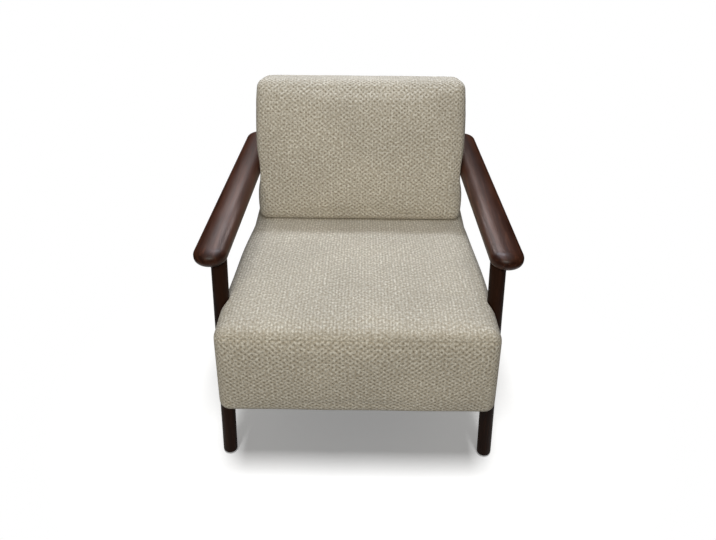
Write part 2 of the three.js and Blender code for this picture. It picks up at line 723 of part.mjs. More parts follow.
const openingHalfAt = (inset) => (y) => sideRailAt(y) - seatFlangeWidth + frontSidePadding - inset;
const openingFront = seatFlangeWidth - seatOverhang;
const seatOpening = addCutter(body, taperedBlock(
  seatUnderside - overrun, frameBottom + overrun, openingFront, seatFlangeWidth, openingHalfAt(0),
));
const frameHollow = addCutter(body, taperedBlock(
  seatUnderside - overrun,
  strapTop + clearance,
  frontRailY - clearance,
  rearPadding - clearance,
  (y) => sideRailAt(y) + clearance,
));

const seatCover = addPiece(body, 'seat_cover', weave, seatGeometry(0));
const seatHollow = addCutter(body, seatGeometry(coverThickness));
const seatFoam = addPiece(body, 'seat_foam', foam, seatGeometry(coverThickness + clearance));
carve(seatHollow, legCuttersOf(clearance + coverThickness));
const seatPasses = [...Object.values(postCutters), ...boltCutters.seat, ...Object.values(rearLegCutters)];
carve(seatCover, [...legCuttersOf(clearance), seatHollow, seatOpening, ...seatPasses]);
carve(seatFoam, [...legCuttersOf(coverThickness + 2 * clearance), frameHollow, ...seatPasses]);

const dustLow = frameBottom - clearance - dustCoverThickness;
const dustInset = seatFlangeWidth + clearance;
const dustGeometry = taperedBlock(
  dustLow, frameBottom - clearance, clearance + openingFront, dustInset, openingHalfAt(clearance),
);
const dustCover = addPiece(body, 'seat_dust_cover', underCloth, dustGeometry);
carve(dustCover, Object.values(rearLegCutters));

// Back cover and foam
const backCover = addPiece(body, 'back_cover', weave, backGeometry(0));
const backHollow = addCutter(body, backGeometry(coverThickness));
const backFoam = addPiece(body, 'back_foam', foam, backGeometry(coverThickness + clearance));
carve(backHollow, armCuttersOf(clearance + coverThickness));
carve(backCover, [...armCuttersOf(clearance), belowBack, backHollow, ...boltCutters.back]);
const postHollow = addCutter(leanFrame, block(
  new THREE.Vector3(-postOuter - clearance, strapFace - strapThickness - clearance, 0),
  new THREE.Vector3(postOuter + clearance, postDepth / 2 + clearance, leanLength(postTop) + clearance),
));
carve(backFoam, [...armCuttersOf(coverThickness + 2 * clearance), belowBack, postHollow, ...boltCutters.back]);

for (const cutter of cutters) cutter.removeFromParent();

// The chair stands with the middle of its footprint over the origin
const extent = new THREE.Box3().setFromObject(chair);
chair.position.y = -(extent.min.y + extent.max.y) / 2;

export default chair;
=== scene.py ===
import json
import math

import bmesh
import bpy
import numpy as np
from mathutils import Matrix, Vector


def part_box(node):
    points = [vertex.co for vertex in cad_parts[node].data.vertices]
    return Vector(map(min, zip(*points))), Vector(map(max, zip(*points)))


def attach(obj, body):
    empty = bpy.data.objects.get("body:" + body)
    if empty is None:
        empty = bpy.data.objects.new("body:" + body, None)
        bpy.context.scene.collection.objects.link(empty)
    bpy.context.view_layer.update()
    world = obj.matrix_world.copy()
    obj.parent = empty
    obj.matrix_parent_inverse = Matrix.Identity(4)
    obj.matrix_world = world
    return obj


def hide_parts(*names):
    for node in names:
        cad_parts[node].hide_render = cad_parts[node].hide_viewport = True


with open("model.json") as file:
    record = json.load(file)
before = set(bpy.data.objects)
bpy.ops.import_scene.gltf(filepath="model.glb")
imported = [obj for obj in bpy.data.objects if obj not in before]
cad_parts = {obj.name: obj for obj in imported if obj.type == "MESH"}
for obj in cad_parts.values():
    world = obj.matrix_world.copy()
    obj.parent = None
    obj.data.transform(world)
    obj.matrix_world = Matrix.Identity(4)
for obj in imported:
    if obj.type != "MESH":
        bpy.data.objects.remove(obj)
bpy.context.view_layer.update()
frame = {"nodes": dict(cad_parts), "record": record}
scene = bpy.context.scene
print("frame loaded")


# Shared places, in metres and in the frame's axes

legLine = sum(corner.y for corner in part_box("front_left_glide")) / 2  # Y of the front legs' feet
footHalfSpan = sum(corner.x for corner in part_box("front_right_glide")) / 2
seatTop = 0.458  # under the back
rearSetback = 0.590  # of the rear face behind the front legs, at the seat's level
backSetback = 0.354  # of the back's front face, at the same level
recline = math.radians(15.2)
rearSlope = math.tan(math.radians(5.0))
faceSlope = math.tan(recline)


def rearFaceAt(height):
    return legLine + rearSetback + (height - seatTop) * rearSlope


def backFaceAt(height):
    return legLine + backSetback + (height - seatTop) * faceSlope


# Camera and light

cameraView = {
    "place": (0.008, legLine - 1.204, 1.353),
    "pitchDown": 33.856,  # degrees
    "yaw": -0.417,
    "roll": 0.415,
    "focalPixels": 700.0,  # on the photograph's width
    "photoWidth": 716.0,
    "sensor": 36.0,
}


def addCamera(view):
    pitch, yaw, roll = (math.radians(view[key]) for key in ("pitchDown", "yaw", "roll"))
    forward = Vector((math.sin(yaw) * math.cos(pitch), math.cos(yaw) * math.cos(pitch), -math.sin(pitch)))
    right = Vector((math.cos(yaw), -math.sin(yaw), 0.0))
    up = right.cross(forward)
    rightTurned = math.cos(roll) * right + math.sin(roll) * up
    upTurned = math.cos(roll) * up - math.sin(roll) * right
    data = bpy.data.cameras.new("photoCamera")
    data.sensor_width = view["sensor"]
    data.lens = view["focalPixels"] / view["photoWidth"] * view["sensor"]
    camera = bpy.data.objects.new("photoCamera", data)
    turn = Matrix((rightTurned, upTurned, -forward)).transposed().to_4x4()
    camera.matrix_world = Matrix.Translation(view["place"]) @ turn
    scene.collection.objects.link(camera)
    scene.camera = camera


lamps = {  # powers in watts
    "overhead": {
        "place": (-0.05, 1.06, 2.5), "aim": (0.0, -0.05, 0.45),
        "size": (1.2, 0.15), "power": 27.0, "tint": (0.82, 0.88, 1.0),
    },
    "above": {
        "place": (-0.05, -0.1, 1.9), "aim": (0.0, -0.1, 0.46),
        "size": (0.9, 0.3), "power": 4.0, "tint": (0.80, 0.86, 1.0),
    },
    "frontSoft": {
        "place": (-0.3, -2.2, 2.5), "aim": (0.0, 0.0, 0.40),
        "size": (1.4, 1.0), "power": 43.5, "tint": (1.0, 0.97, 0.88),
    },
    "shineLeft": {
        "place": (-0.49, 1.6, 1.75), "aim": (-0.30, -0.10, 0.59),
        "size": (0.4, 0.3), "power": 7.2, "tint": (1.0, 0.87, 0.85),
    },
    "shineRight": {
        "place": (0.23, 1.6, 1.75), "aim": (0.30, -0.10, 0.59),
        "size": (0.4, 0.3), "power": 6.5, "tint": (1.0, 0.87, 0.85),
    },
    "rearSoft": {
        "place": (0.3, 3.0, 1.8), "aim": (0.0, 0.3, 0.6),
        "size": (1.6, 1.0), "power": 26.0, "tint": (1.0, 0.98, 0.94),
    },
    "floorSoft": {  # high and far, so that the shadow stays between the legs
        "place": (0.0, -2.21, 6.0), "aim": (0.0, -0.1, 0.0),
        "size": (1.3, 1.64), "power": 198.0, "tint": (1.0, 1.0, 1.0),
    },
}
chairLight = bpy.data.collections.new("lampsWithoutFloor")
floorLight = bpy.data.collections.new("lampsForFloor")
armLight = bpy.data.collections.new("lampsForArmrests")
clothLight = bpy.data.collections.new("lampsForCloth")
lampUse = {"floorSoft": floorLight, "shineLeft": armLight, "shineRight": armLight, "rearSoft": clothLight}


def addLamp(name, lamp):
    data = bpy.data.lights.new(name, "AREA")
    data.shape = "RECTANGLE"
    data.size, data.size_y = lamp["size"]
    data.energy = lamp["power"]
    data.color = lamp["tint"]
    light = bpy.data.objects.new(name, data)
    light.visible_camera = False
    place = Vector(lamp["place"])
    light.rotation_euler = (Vector(lamp["aim"]) - place).to_track_quat("-Z", "Y").to_euler()
    light.location = place
    light.light_linking.receiver_collection = lampUse.get(name, chairLight)
    scene.collection.objects.link(light)


def linkLight(collection, state, *pieces):
    # INCLUDE keeps the collection's lamps to these pieces, EXCLUDE keeps them off
    for piece in pieces:
        collection.objects.link(piece)
        collection.collection_objects[-1].light_linking.link_state = state


addCamera(cameraView)
for lampName, lamp in lamps.items():
    addLamp(lampName, lamp)
scene.view_settings.view_transform = "Standard"
print("camera and lamps")


# Materials

class NodeSheet:
    def __init__(self, tree):
        self.tree = tree

    def add(self, kind, settings=None, **inputs):
        node = self.tree.nodes.new(kind)
        for key, value in (settings or {}).items():
            setattr(node, key, value)
        for key, value in inputs.items():
            self.feed(node, key.replace("_", " "), value)
        return node

    def feed(self, node, key, value):
        socket = node.inputs[int(key)] if key.isdigit() else node.inputs[key]
        if isinstance(value, bpy.types.NodeSocket):
            self.tree.links.new(value, socket)
        else:
            socket.default_value = value

    def maths(self, operation, first, second=0.0):
        node = self.add("ShaderNodeMath", {"operation": operation})
        self.feed(node, "0", first)
        self.feed(node, "1", second)
        return node.outputs[0]

    def vectorMaths(self, operation, first, second):
        node = self.add("ShaderNodeVectorMath", {"operation": operation})
        self.feed(node, "0", first)
        self.feed(node, "1", second)
        return node.outputs[0]

    def noise(self, vector, scale, detail=2.0, roughness=0.5, distortion=0.0):
        settings = {"Scale": scale, "Detail": detail, "Roughness": roughness, "Distortion": distortion}
        return self.add("ShaderNodeTexNoise", Vector=vector, **settings).outputs

    def between(self, value, low, high, toLow=0.0, toHigh=1.0, smooth=True):
        style = "SMOOTHSTEP" if smooth else "LINEAR"
        node = self.add("ShaderNodeMapRange", {"interpolation_type": style}, Value=value)
        for key, number in (("From Min", low), ("From Max", high), ("To Min", toLow), ("To Max", toHigh)):
            node.inputs[key].default_value = number
        return node.outputs[0]

    def mix(self, share, first, second, blend="MIX"):
        node = self.add("ShaderNodeMix", {"data_type": "RGBA", "blend_type": blend, "clamp_factor": True})
        self.feed(node, "0", share)
        self.feed(node, "6", first)
        self.feed(node, "7", second)
        return node.outputs[2]

    def grey(self, level):
        return self.add("ShaderNodeCombineColor", Red=level, Green=level, Blue=level).outputs[0]

    def bump(self, height, strength, distance):
        return self.add("ShaderNodeBump", Height=height, Strength=strength, Distance=distance).outputs[0]


def paint(red, green, blue):
    # A screen colour from 0 to 255 as a linear one
    def linear(part):
        part /= 255.0
        return part / 12.92 if part <= 0.04045 else ((part + 0.055) / 1.055) ** 2.4

    return (linear(red), linear(green), linear(blue), 1.0)


def newMaterial(name):
    material = bpy.data.materials.new(name)
    material.use_nodes = True
    sheet = NodeSheet(material.node_tree)
    return material, sheet, material.node_tree.nodes["Principled BSDF"]


weave = {
    "acrossPeriod": 0.0134,  # between pits in one row
    "alongPeriod": 0.0102,  # between rows that line up
    "waves": (26.0, 0.0022),  # noise scale, and how far it moves the yarns
    "jitter": (150.0, 0.0012),
    "heather": 190.0,  # noise scales
    "strands": 420.0,
    "strandShape": (1.0, 1.35, 1.0),
    "drift": 7.0,
    "lightYarn": paint(234, 228, 214),
    "middleYarn": paint(210, 203, 188),
    "brownYarn": paint(184, 173, 154),
    # Pits and the lines between the yarns are painted darker: painted shade in the weave's recesses
    "pit": paint(130, 121, 103),
    "pitTone": (0.84, 0.34),  # how dark a pit's painted shade is, in brown and in light yarn
    "knotTone": 0.35,  # how much lighter a knot is
    "ribs": 0.08,  # how much painted shade darkens the lines between the yarns
    "ribsUpExtra": 0.27,  # and how much more where the cloth faces up
    "pitShadeFadeUp": 0.60,  # painted light: the pits' painted shade fades there, as if lit straight from above
    "knotHeight": 0.4,
    "strandHeight": 0.7,
    "bump": 0.75,
    "relief": 0.0012,
    "roughness": 0.92,
    "gloss": 0.18,
    "sheen": 0.12,
    "sheenRoughness": 0.6,
}


def weaveMaterial(name, cloth):
    material, sheet, shader = newMaterial(name)
    place = sheet.add("ShaderNodeUVMap", {"uv_map": "weave"}).outputs[0]

    def shift(scale, amount):
        uneven = sheet.vectorMaths("SUBTRACT", sheet.noise(place, scale, 1.0)[1], (0.5, 0.5, 0.5))
        return sheet.vectorMaths("MULTIPLY", uneven, (amount,) * 3)

    def wave(part, period):
        return sheet.maths("COSINE", sheet.maths("MULTIPLY", part, 2 * math.pi / period))

    shifts = sheet.vectorMaths("ADD", shift(*cloth["waves"]), shift(*cloth["jitter"]))
    bent = sheet.vectorMaths("ADD", place, shifts)
    parts = sheet.add("ShaderNodeSeparateXYZ", Vector=bent).outputs
    across = wave(parts[0], cloth["acrossPeriod"])
    along = wave(parts[1], cloth["alongPeriod"])
    lattice = sheet.maths("MULTIPLY", across, along)
    ribs = wave(parts[0], cloth["acrossPeriod"] / 2)
    # A mask of painted light: on cloth that faces up, the pits' painted shade fades and the lines between the
    # yarns darken more
    paintedToplight = sheet.add("ShaderNodeAttribute", {"attribute_name": "paintedToplight"}).outputs["Fac"]
    pitShadeKept = sheet.between(paintedToplight, 0.0, 1.0, 1.0, 1.0 - cloth["pitShadeFadeUp"], smooth=False)
    pits = sheet.maths("MULTIPLY", sheet.between(lattice, 0.15, 0.95), pitShadeKept)
    knots = sheet.between(lattice, -0.25, -1.0)
    longer = sheet.vectorMaths("MULTIPLY", bent, cloth["strandShape"])
    strands = sheet.noise(longer, cloth["strands"], 2.0, 0.6)[0]
    heather = sheet.noise(bent, cloth["heather"], 2.0, 0.65)[0]
    drift = sheet.noise(place, cloth["drift"], 2.0)[0]
    yarn = sheet.mix(sheet.between(heather, 0.38, 0.62), cloth["brownYarn"], cloth["middleYarn"])
    yarn = sheet.mix(sheet.between(heather, 0.50, 0.70), yarn, cloth["lightYarn"])
    yarn = sheet.mix(sheet.maths("MULTIPLY", knots, cloth["knotTone"]), yarn, cloth["lightYarn"])
    ribsFacingUp = cloth["ribs"] + cloth["ribsUpExtra"]
    valleyDepth = sheet.between(paintedToplight, 0.0, 1.0, cloth["ribs"], ribsFacingUp, smooth=False)
    valleys = sheet.maths("MULTIPLY", sheet.between(ribs, 0.0, 1.0), valleyDepth)
    # Painted shade in the pits and in the lines between the yarns
    depth = sheet.maths("MULTIPLY", pits, sheet.between(heather, 0.25, 0.75, *cloth["pitTone"]))
    colour = sheet.mix(sheet.maths("MAXIMUM", depth, valleys), yarn, cloth["pit"])
    colour = sheet.mix(1.0, colour, sheet.grey(sheet.between(drift, 0.3, 0.7, 0.94, 1.04)), "MULTIPLY")
    height = sheet.maths("MULTIPLY", knots, cloth["knotHeight"])
    height = sheet.maths("SUBTRACT", height, sheet.maths("ADD", pits, valleys))
    height = sheet.maths("ADD", height, sheet.maths("MULTIPLY", strands, cloth["strandHeight"]))
    sheet.feed(shader, "Base Color", colour)
    sheet.feed(shader, "Normal", sheet.bump(height, cloth["bump"], cloth["relief"]))
    shader.inputs["Roughness"].default_value = cloth["roughness"]
    shader.inputs["Specular IOR Level"].default_value = cloth["gloss"]
    shader.inputs["Sheen Weight"].default_value = cloth["sheen"]
    shader.inputs["Sheen Roughness"].default_value = cloth["sheenRoughness"]
    return material


# The armrests and the legs are one wood: the armrests' tones are lighter, painted light, and the legs' tones
# darker, painted shade
litArmTones = {
    "darkest": paint(46, 24, 16),
    "middle": paint(69, 39, 26),
    "lightest": paint(94, 56, 38),
    "pore": paint(26, 14, 10),
}
shadedLegTones = {
    "darkest": paint(30, 17, 11),
    "middle": paint(46, 27, 18),
    "lightest": paint(62, 37, 25),
    "pore": paint(18, 10, 7),
}
frameTones = {
    "darkest": paint(176, 140, 98),
    "middle": paint(201, 168, 124),
    "lightest": paint(218, 190, 150),
    "pore": paint(150, 116, 80),
}
grain = {
    "stretch": 0.055,  # how slowly the figure changes along the grain
    "figure": 46.0,  # noise scales
    "streaks": 210.0,
    "pores": 900.0,
    "cloud": 9.0,
    "bump": 0.10,
    "relief": 0.0006,
}


def woodMaterial(name, tones, grainAxis, roughness, gloss):
    material, sheet, shader = newMaterial(name)
    place = sheet.add("ShaderNodeTexCoord").outputs["Object"]
    squeeze = [1.0, 1.0, 1.0]
    squeeze[grainAxis] = grain["stretch"]
    along = sheet.vectorMaths("MULTIPLY", place, squeeze)
    figure = sheet.noise(along, grain["figure"], 4.0, 0.55, 0.6)[0]
    streaks = sheet.noise(along, grain["streaks"], 3.0, 0.6, 0.2)[0]
    pores = sheet.noise(along, grain["pores"], 2.0, 0.5)[0]
    cloud = sheet.noise(place, grain["cloud"], 2.0)[0]
    colour = sheet.mix(sheet.between(figure, 0.36, 0.60), tones["darkest"], tones["middle"])
    colour = sheet.mix(sheet.between(streaks, 0.52, 0.74, 0.0, 0.55), colour, tones["lightest"])
    colour = sheet.mix(sheet.between(pores, 0.60, 0.72, 0.0, 0.6), colour, tones["pore"])
    dull = sheet.maths("ADD", sheet.maths("MULTIPLY", streaks, 0.4), sheet.maths("MULTIPLY", cloud, 0.6))
    raised = sheet.maths("MULTIPLY", streaks, 0.6)
    height = sheet.maths("SUBTRACT", raised, sheet.maths("MULTIPLY", pores, 0.5))
    sheet.feed(shader, "Base Color", colour)
    sheet.feed(shader, "Roughness", sheet.between(dull, 0.35, 0.65, *roughness))
    sheet.feed(shader, "Normal", sheet.bump(height, grain["bump"], grain["relief"]))
    shader.inputs["Specular IOR Level"].default_value = gloss
    return material


def plainMaterial(name, dark, light, scale, roughness, relief, metallic=0.0):
    material, sheet, shader = newMaterial(name)
    place = sheet.add("ShaderNodeTexCoord").outputs["Object"]
    speckle = sheet.noise(place, scale, 3.0, 0.6)[0]
    sheet.feed(shader, "Base Color", sheet.mix(sheet.between(speckle, 0.35, 0.65), dark, light))
    sheet.feed(shader, "Roughness", sheet.between(speckle, 0.3, 0.7, *roughness))
    sheet.feed(shader, "Normal", sheet.bump(speckle, 0.4, relief))
    shader.inputs["Metallic"].default_value = metallic
    return material


def webbingMaterial(name, dark, light, rib):
    material, sheet, shader = newMaterial(name)
    place = sheet.add("ShaderNodeTexCoord").outputs["Object"]
    parts = sheet.add("ShaderNodeSeparateXYZ", Vector=place).outputs
    turns = [sheet.maths("MULTIPLY", part, 2 * math.pi / rib) for part in (parts[0], parts[1])]
    ribs = sheet.maths("MULTIPLY", sheet.maths("SINE", turns[0]), sheet.maths("SINE", turns[1]))
    sheet.feed(shader, "Base Color", sheet.mix(sheet.between(ribs, -0.6, 0.6), dark, light))
    sheet.feed(shader, "Normal", sheet.bump(ribs, 0.6, 0.0004))
    shader.inputs["Roughness"].default_value = 0.9
    return material


materials = {  # wood: axis of the grain, range of roughness, gloss
    "woven": weaveMaterial("wovenCover", weave),
    # The armrests get the lighter tones, painted light, and the legs the darker ones, painted shade
    "armWood": woodMaterial("armrestWood", litArmTones, 1, (0.34, 0.42), 0.27),
    "legWood": woodMaterial("legWood", shadedLegTones, 2, (0.48, 0.58), 0.05),
    "frameWood": woodMaterial("frameWood", frameTones, 0, (0.6, 0.75), 0.4),
    "foam": plainMaterial("foam", paint(222, 206, 160), paint(236, 224, 186), 700.0, (0.9, 1.0), 0.0006),
    "webbing": webbingMaterial("webbing", paint(34, 34, 33), paint(70, 69, 66), 0.003),
    "underCloth": webbingMaterial("underCloth", paint(20, 20, 22), paint(42, 42, 45), 0.0022),
    "steel": plainMaterial(
        "zincPlate", paint(150, 150, 146), paint(186, 186, 182), 500.0, (0.28, 0.42), 0.0002, metallic=1.0
    ),
    "nylon": plainMaterial("nylon", paint(24, 24, 24), paint(38, 38, 38), 600.0, (0.45, 0.6), 0.0002),
}


def slotOf(node):
    return next(part["material_slot"] for part in frame["record"]["subparts"] if part["node"] == node)


finishOf = {
    "dark_wood": "legWood",
    "woven_cover": "woven",
    "frame_wood": "frameWood",
    "foam": "foam",
    "webbing": "webbing",
    "under_cloth": "underCloth",
    "steel": "steel",
    "glide_nylon": "nylon",
}
for nodeName, node in frame["nodes"].items():
    node.data.materials.clear()
    node.data.materials.append(materials[finishOf[slotOf(nodeName)]])
print("materials")


armrest = {
    "halfWidth": 0.03525,
    "halfThickness": 0.019,
    "length": 0.60414,  # between the centres of the round ends
    "frontHalfSpan": 0.3025,
    "rearHalfSpan": 0.2795,
    "frontMiddle": 0.580,  # height of the axis
    "rearMiddle": 0.571,
    "fullness": 2.45,  # 2 is an ellipse
    "rings": 18,
    "endSteps": 26,
    "sideSteps": 60,
}


def armShare(y):
    return (y - legLine) / armrest["length"]


def armCentreAt(y):
    return armrest["frontHalfSpan"] + (armrest["rearHalfSpan"] - armrest["frontHalfSpan"]) * armShare(y)


def armMiddleAt(y):
    return armrest["frontMiddle"] + (armrest["rearMiddle"] - armrest["frontMiddle"]) * armShare(y)


leg = {
    "radius": 0.017,
    "footRound": 0.005,
    "footLevel": 0.0043,
    "topHalfSpan": 0.2875,  # at the armrest's underside
    "underside": 0.561,
    "topLevel": 0.578,  # hidden in the armrest
    "rearTopLevel": 0.2642,
    "rearSplay": 8.0,
    "rearRake": 7.0,
    "sides": 64,
    "rings": 24,
    "arcSteps": 8,
    "soleInset": 0.002,  # a ring just inside the rounded edge of the sole
    "topSpare": 0.004,  # cut off level again
}
legLean = math.atan((footHalfSpan - leg["topHalfSpan"]) / leg["underside"])


def frontLegAt(height):
    return footHalfSpan - height * math.tan(legLean)


def meshPiece(name, points, faces, material, smooth=True):
    mesh = bpy.data.meshes.new(name)
    mesh.from_pydata([tuple(point) for point in points], [], faces)
    mesh.materials.append(material)
    piece = bpy.data.objects.new(name, mesh)
    scene.collection.objects.link(piece)
    if smooth:
        mesh.shade_smooth()
    else:
        mesh.shade_flat()
    return piece


def ringPoints(profile, sides):
    # Rings of points round the Z axis, one for each radius and height
    turns = [2 * math.pi * step / sides for step in range(sides)]
    circle = [(math.cos(turn), math.sin(turn)) for turn in turns]
    return [(radius * x, radius * y, height) for radius, height in profile for x, y in circle]


def ringFaces(ringCount, sides):
    # Quads from each closed ring of points to the next
    faces = []
    for ring in range(ringCount - 1):
        low, high = ring * sides, (ring + 1) * sides
        for spot in range(sides):
            after = (spot + 1) % sides
            faces.append((low + spot, low + after, high + after, high + spot))
    return faces


def tidyMesh(piece):
    net = bmesh.new()
    net.from_mesh(piece.data)
    bmesh.ops.remove_doubles(net, verts=net.verts, dist=1e-5)
    bmesh.ops.recalc_face_normals(net, faces=net.faces)
    net.to_mesh(piece.data)
    net.free()
    piece.data.shade_smooth()


def finishPiece(piece, slotName, *nodes):
    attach(piece, "root")
    if nodes:
        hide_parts(*nodes)


# Armrests: rings that shrink from the widest line to the spine, above and below

def addArmrest(word, side):
    length = armrest["length"]
    rings, endSteps, sideSteps = (armrest[key] for key in ("rings", "endSteps", "sideSteps"))
    outline = []  # centre of curvature, and direction outwards
    for middle, start, way in ((0.0, math.pi, 1.0), (length, 0.0, -1.0)):
        for step in range(endSteps + 1):
            turn = start + math.pi * step / endSteps
            outline.append((middle, math.cos(turn), math.sin(turn)))
        for step in range(1, sideSteps):
            share = step / sideSteps if way > 0 else 1 - step / sideSteps
            outline.append((length * share, way, 0.0))
    power = 2 / armrest["fullness"]
    points = []
    for ring in range(-rings, rings + 1):
        turn = math.pi / 2 * ring / rings
        out = armrest["halfWidth"] * max(0.0, math.cos(turn)) ** power
        height = armrest["halfThickness"] * math.copysign(abs(math.sin(turn)) ** power, turn)
        points += [(out * dx, middle + out * dy, height) for middle, dx, dy in outline]
    faces = ringFaces(2 * rings + 1, len(outline))
    piece = meshPiece(f"armrest_{word}", points, faces, materials["armWood"])
    drop = math.atan((armrest["frontMiddle"] - armrest["rearMiddle"]) / length)
    toe = math.atan((armrest["frontHalfSpan"] - armrest["rearHalfSpan"]) / length)
    turn = Matrix.Rotation(side * toe, 4, "Z") @ Matrix.Rotation(-drop, 4, "X")
    start = Vector((side * armrest["frontHalfSpan"], legLine, armrest["frontMiddle"]))
    piece.data.transform(Matrix.Translation(start) @ turn)
    tidyMesh(piece)
    finishPiece(piece, "dark_wood", f"{word}_armrest")
    return piece


# Legs and glides: turned shapes

def addTurned(name, profile, sides, material, place):
    piece = meshPiece(name, ringPoints(profile, sides), ringFaces(len(profile), sides), material)
    piece.data.transform(place)
    tidyMesh(piece)
    return piece


def soleProfile(radius, rounding, inset, level, steps):
    # From the middle of a sole out and up round its edge
    profile = [(0.0, level), (radius - rounding - inset, level)]
    for step in range(steps + 1):
        turn = math.pi / 2 * step / steps
        profile.append((radius - rounding * (1 - math.sin(turn)), level + rounding * (1 - math.cos(turn))))
    return profile


def legProfile(low, high):
    radius, foot, rings = leg["radius"], leg["footRound"], leg["rings"]
    profile = soleProfile(radius, foot, leg["soleInset"], low, leg["arcSteps"])
    for ring in range(1, rings + 1):
        profile.append((radius, low + foot + (high - low - foot) * ring / rings))
    profile.append((0.0, high))
    return profile


def levelCut(piece, low, high):
    for vertex in piece.data.vertices:
        vertex.co.z = min(max(vertex.co.z, low), high)


def addFrontLeg(word, side):
    place = Matrix.Translation((side * footHalfSpan, legLine, 0.0)) @ Matrix.Rotation(-side * legLean, 4, "Y")
    profile = legProfile(leg["footLevel"], leg["topLevel"] / math.cos(legLean))
    piece = addTurned(f"front_leg_{word}", profile, leg["sides"], materials["legWood"], place)
    levelCut(piece, leg["footLevel"], leg["topLevel"])
    finishPiece(piece, "dark_wood", f"front_{word}_leg")


def glideFoot(name):
    low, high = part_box(name)
    return Vector(((low.x + high.x) / 2, (low.y + high.y) / 2, low.z))


def rearLegTurn(side):
    rake = Matrix.Rotation(math.radians(leg["rearRake"]), 4, "X")
    return rake @ Matrix.Rotation(-side * math.radians(leg["rearSplay"]), 4, "Y")


def rearLegPoint(word, side, height):
    # Where the leg's axis stands at a height; it runs up from the middle of its glide
    foot = glideFoot(f"rear_{word}_glide")
    axis = rearLegTurn(side) @ Vector((0.0, 0.0, 1.0))
    return foot + axis * (height - foot.z) / axis.z


def addRearLeg(word, side):
    foot, top = (rearLegPoint(word, side, height) for height in (leg["footLevel"], leg["rearTopLevel"]))
    place = Matrix.Translation(foot) @ rearLegTurn(side)
    profile = legProfile(0.0, (top - foot).length + leg["topSpare"])
    piece = addTurned(f"rear_leg_{word}", profile, leg["sides"], materials["legWood"], place)
    levelCut(piece, leg["footLevel"], leg["rearTopLevel"])
    finishPiece(piece, "dark_wood", f"rear_{word}_leg")


glide = {
    "radius": 0.011,
    "edgeRound": 0.0012,
    "soleInset": 0.0008,
    "topBevel": 0.0004,
    "thickness": 0.004,
    "sides": 40,
    "arcSteps": 6,
}


def addGlide(name):
    radius, top, bevel = glide["radius"], glide["thickness"], glide["topBevel"]
    profile = soleProfile(radius, glide["edgeRound"], glide["soleInset"], 0.0, glide["arcSteps"])
    profile += [(radius, top - bevel), (radius - bevel, top), (0.0, top)]
    place = Matrix.Translation(glideFoot(name))
    piece = addTurned(f"{name}_pad", profile, glide["sides"], materials["nylon"], place)
    finishPiece(piece, "glide_nylon", name)


for word, side in (("left", -1), ("right", 1)):
    linkLight(armLight, "INCLUDE", addArmrest(word, side))
    addFrontLeg(word, side)
    addRearLeg(word, side)
    addGlide(f"front_{word}_glide")
    addGlide(f"rear_{word}_glide")
print("armrests, legs and glides")


# Padded blocks: a box with rounded edges on grid lines, bent by a shape function

seam = {"halfWidth": 0.0014, "depth": 0.0021, "lip": 0.0005, "clear": 2.2}  # clear in half widths


def gridLines(half, radius, edgeSteps, step, seamAt=None):
    core = half - radius
    edge = [core + radius * math.tan(math.pi / 4 * (1 - index / edgeSteps)) for index in range(edgeSteps)]
    count = max(1, round(2 * core / step))
    lines = [-line for line in edge] + edge + [-core + 2 * core * index / count for index in range(count + 1)]
    if seamAt is not None:
        clear = seam["clear"] * seam["halfWidth"]
        lines = [line for line in lines if abs(line - seamAt) > clear or abs(line) > half - 1e-6]
        lines += [seamAt + share * seam["halfWidth"] for share in (-1, 0, 1)]
    return sorted(lines)


def boxGrid(lines):
    counts = [len(line) - 1 for line in lines]
    found = {}
    spots = []
    faces = []
    sides = []
    for axis in range(3):
        first, second = (axis + 1) % 3, (axis + 2) % 3
        for high in (0, 1):
            for i in range(counts[first]):
                for j in range(counts[second]):
                    quad = []
                    for di, dj in ((0, 0), (1, 0), (1, 1), (0, 1)):
                        key = [0, 0, 0]
                        key[axis] = counts[axis] * high
                        key[first] = i + di
                        key[second] = j + dj
                        key = tuple(key)
                        if key not in found:
                            found[key] = len(spots)
                            spots.append(key)
                        quad.append(found[key])
                    faces.append(quad if high else quad[::-1])
                    sides.append((axis, high))
    flat = np.array([[lines[axis][key[axis]] for axis in range(3)] for key in spots])
    return flat, faces, sides


def roundOff(flat, half, radius, fullness):
    # Fullness 2 gives round edges and corners, more gives squarer ones
    core = np.array(half) - radius
    middle = np.clip(flat, -core, core)
    away = np.abs(flat - middle)
    reach = (away**fullness).sum(axis=1) ** (1 / fullness)
    return middle + (flat - middle) / reach[:, None] * radius


def paddedPiece(name, size, half, radius, seamAxis, seamAt, shape, cloth):
    lines = []
    for axis, value in enumerate(half):
        seamHere = seamAt if axis == seamAxis else None
        lines.append(gridLines(value, radius, size["edgeSteps"], size["step"], seamHere))
    flat, faces, sides = boxGrid(lines)
    points = shape(roundOff(flat, half, radius, size["fullness"]))
    piece = meshPiece(name, points, faces, materials["woven"])
    layer = piece.data.uv_layers.new(name="weave")
    corners = np.zeros((len(piece.data.loops), 2), np.float32)
    loop = 0
    for quad, (axis, high) in zip(faces, sides):
        for index in quad:
            corners[loop] = cloth(flat[index], axis, high)
            loop += 1
    layer.data.foreach_set("uv", corners.ravel())
    return piece, flat


def sinkSeam(points, normals, flat, axis, seamAt):
    # A sewn line round the block: drawn in along the seam, with a slight lip on both sides
    away = np.abs(flat[:, axis] - seamAt)
    move = np.where(away < 1e-6, -seam["depth"], np.where(away < 1.01 * seam["halfWidth"], seam["lip"], 0.0))
    return points + normals * move[:, None]


def readVectors(vertices, key):
    values = np.zeros(len(vertices) * 3, np.float32)
    vertices.foreach_get(key, values)
    return values.reshape(-1, 3).astype(float)


def positions(piece):
    return readVectors(piece.data.vertices, "co")


def outwards(piece):
    return readVectors(piece.data.vertices, "normal")


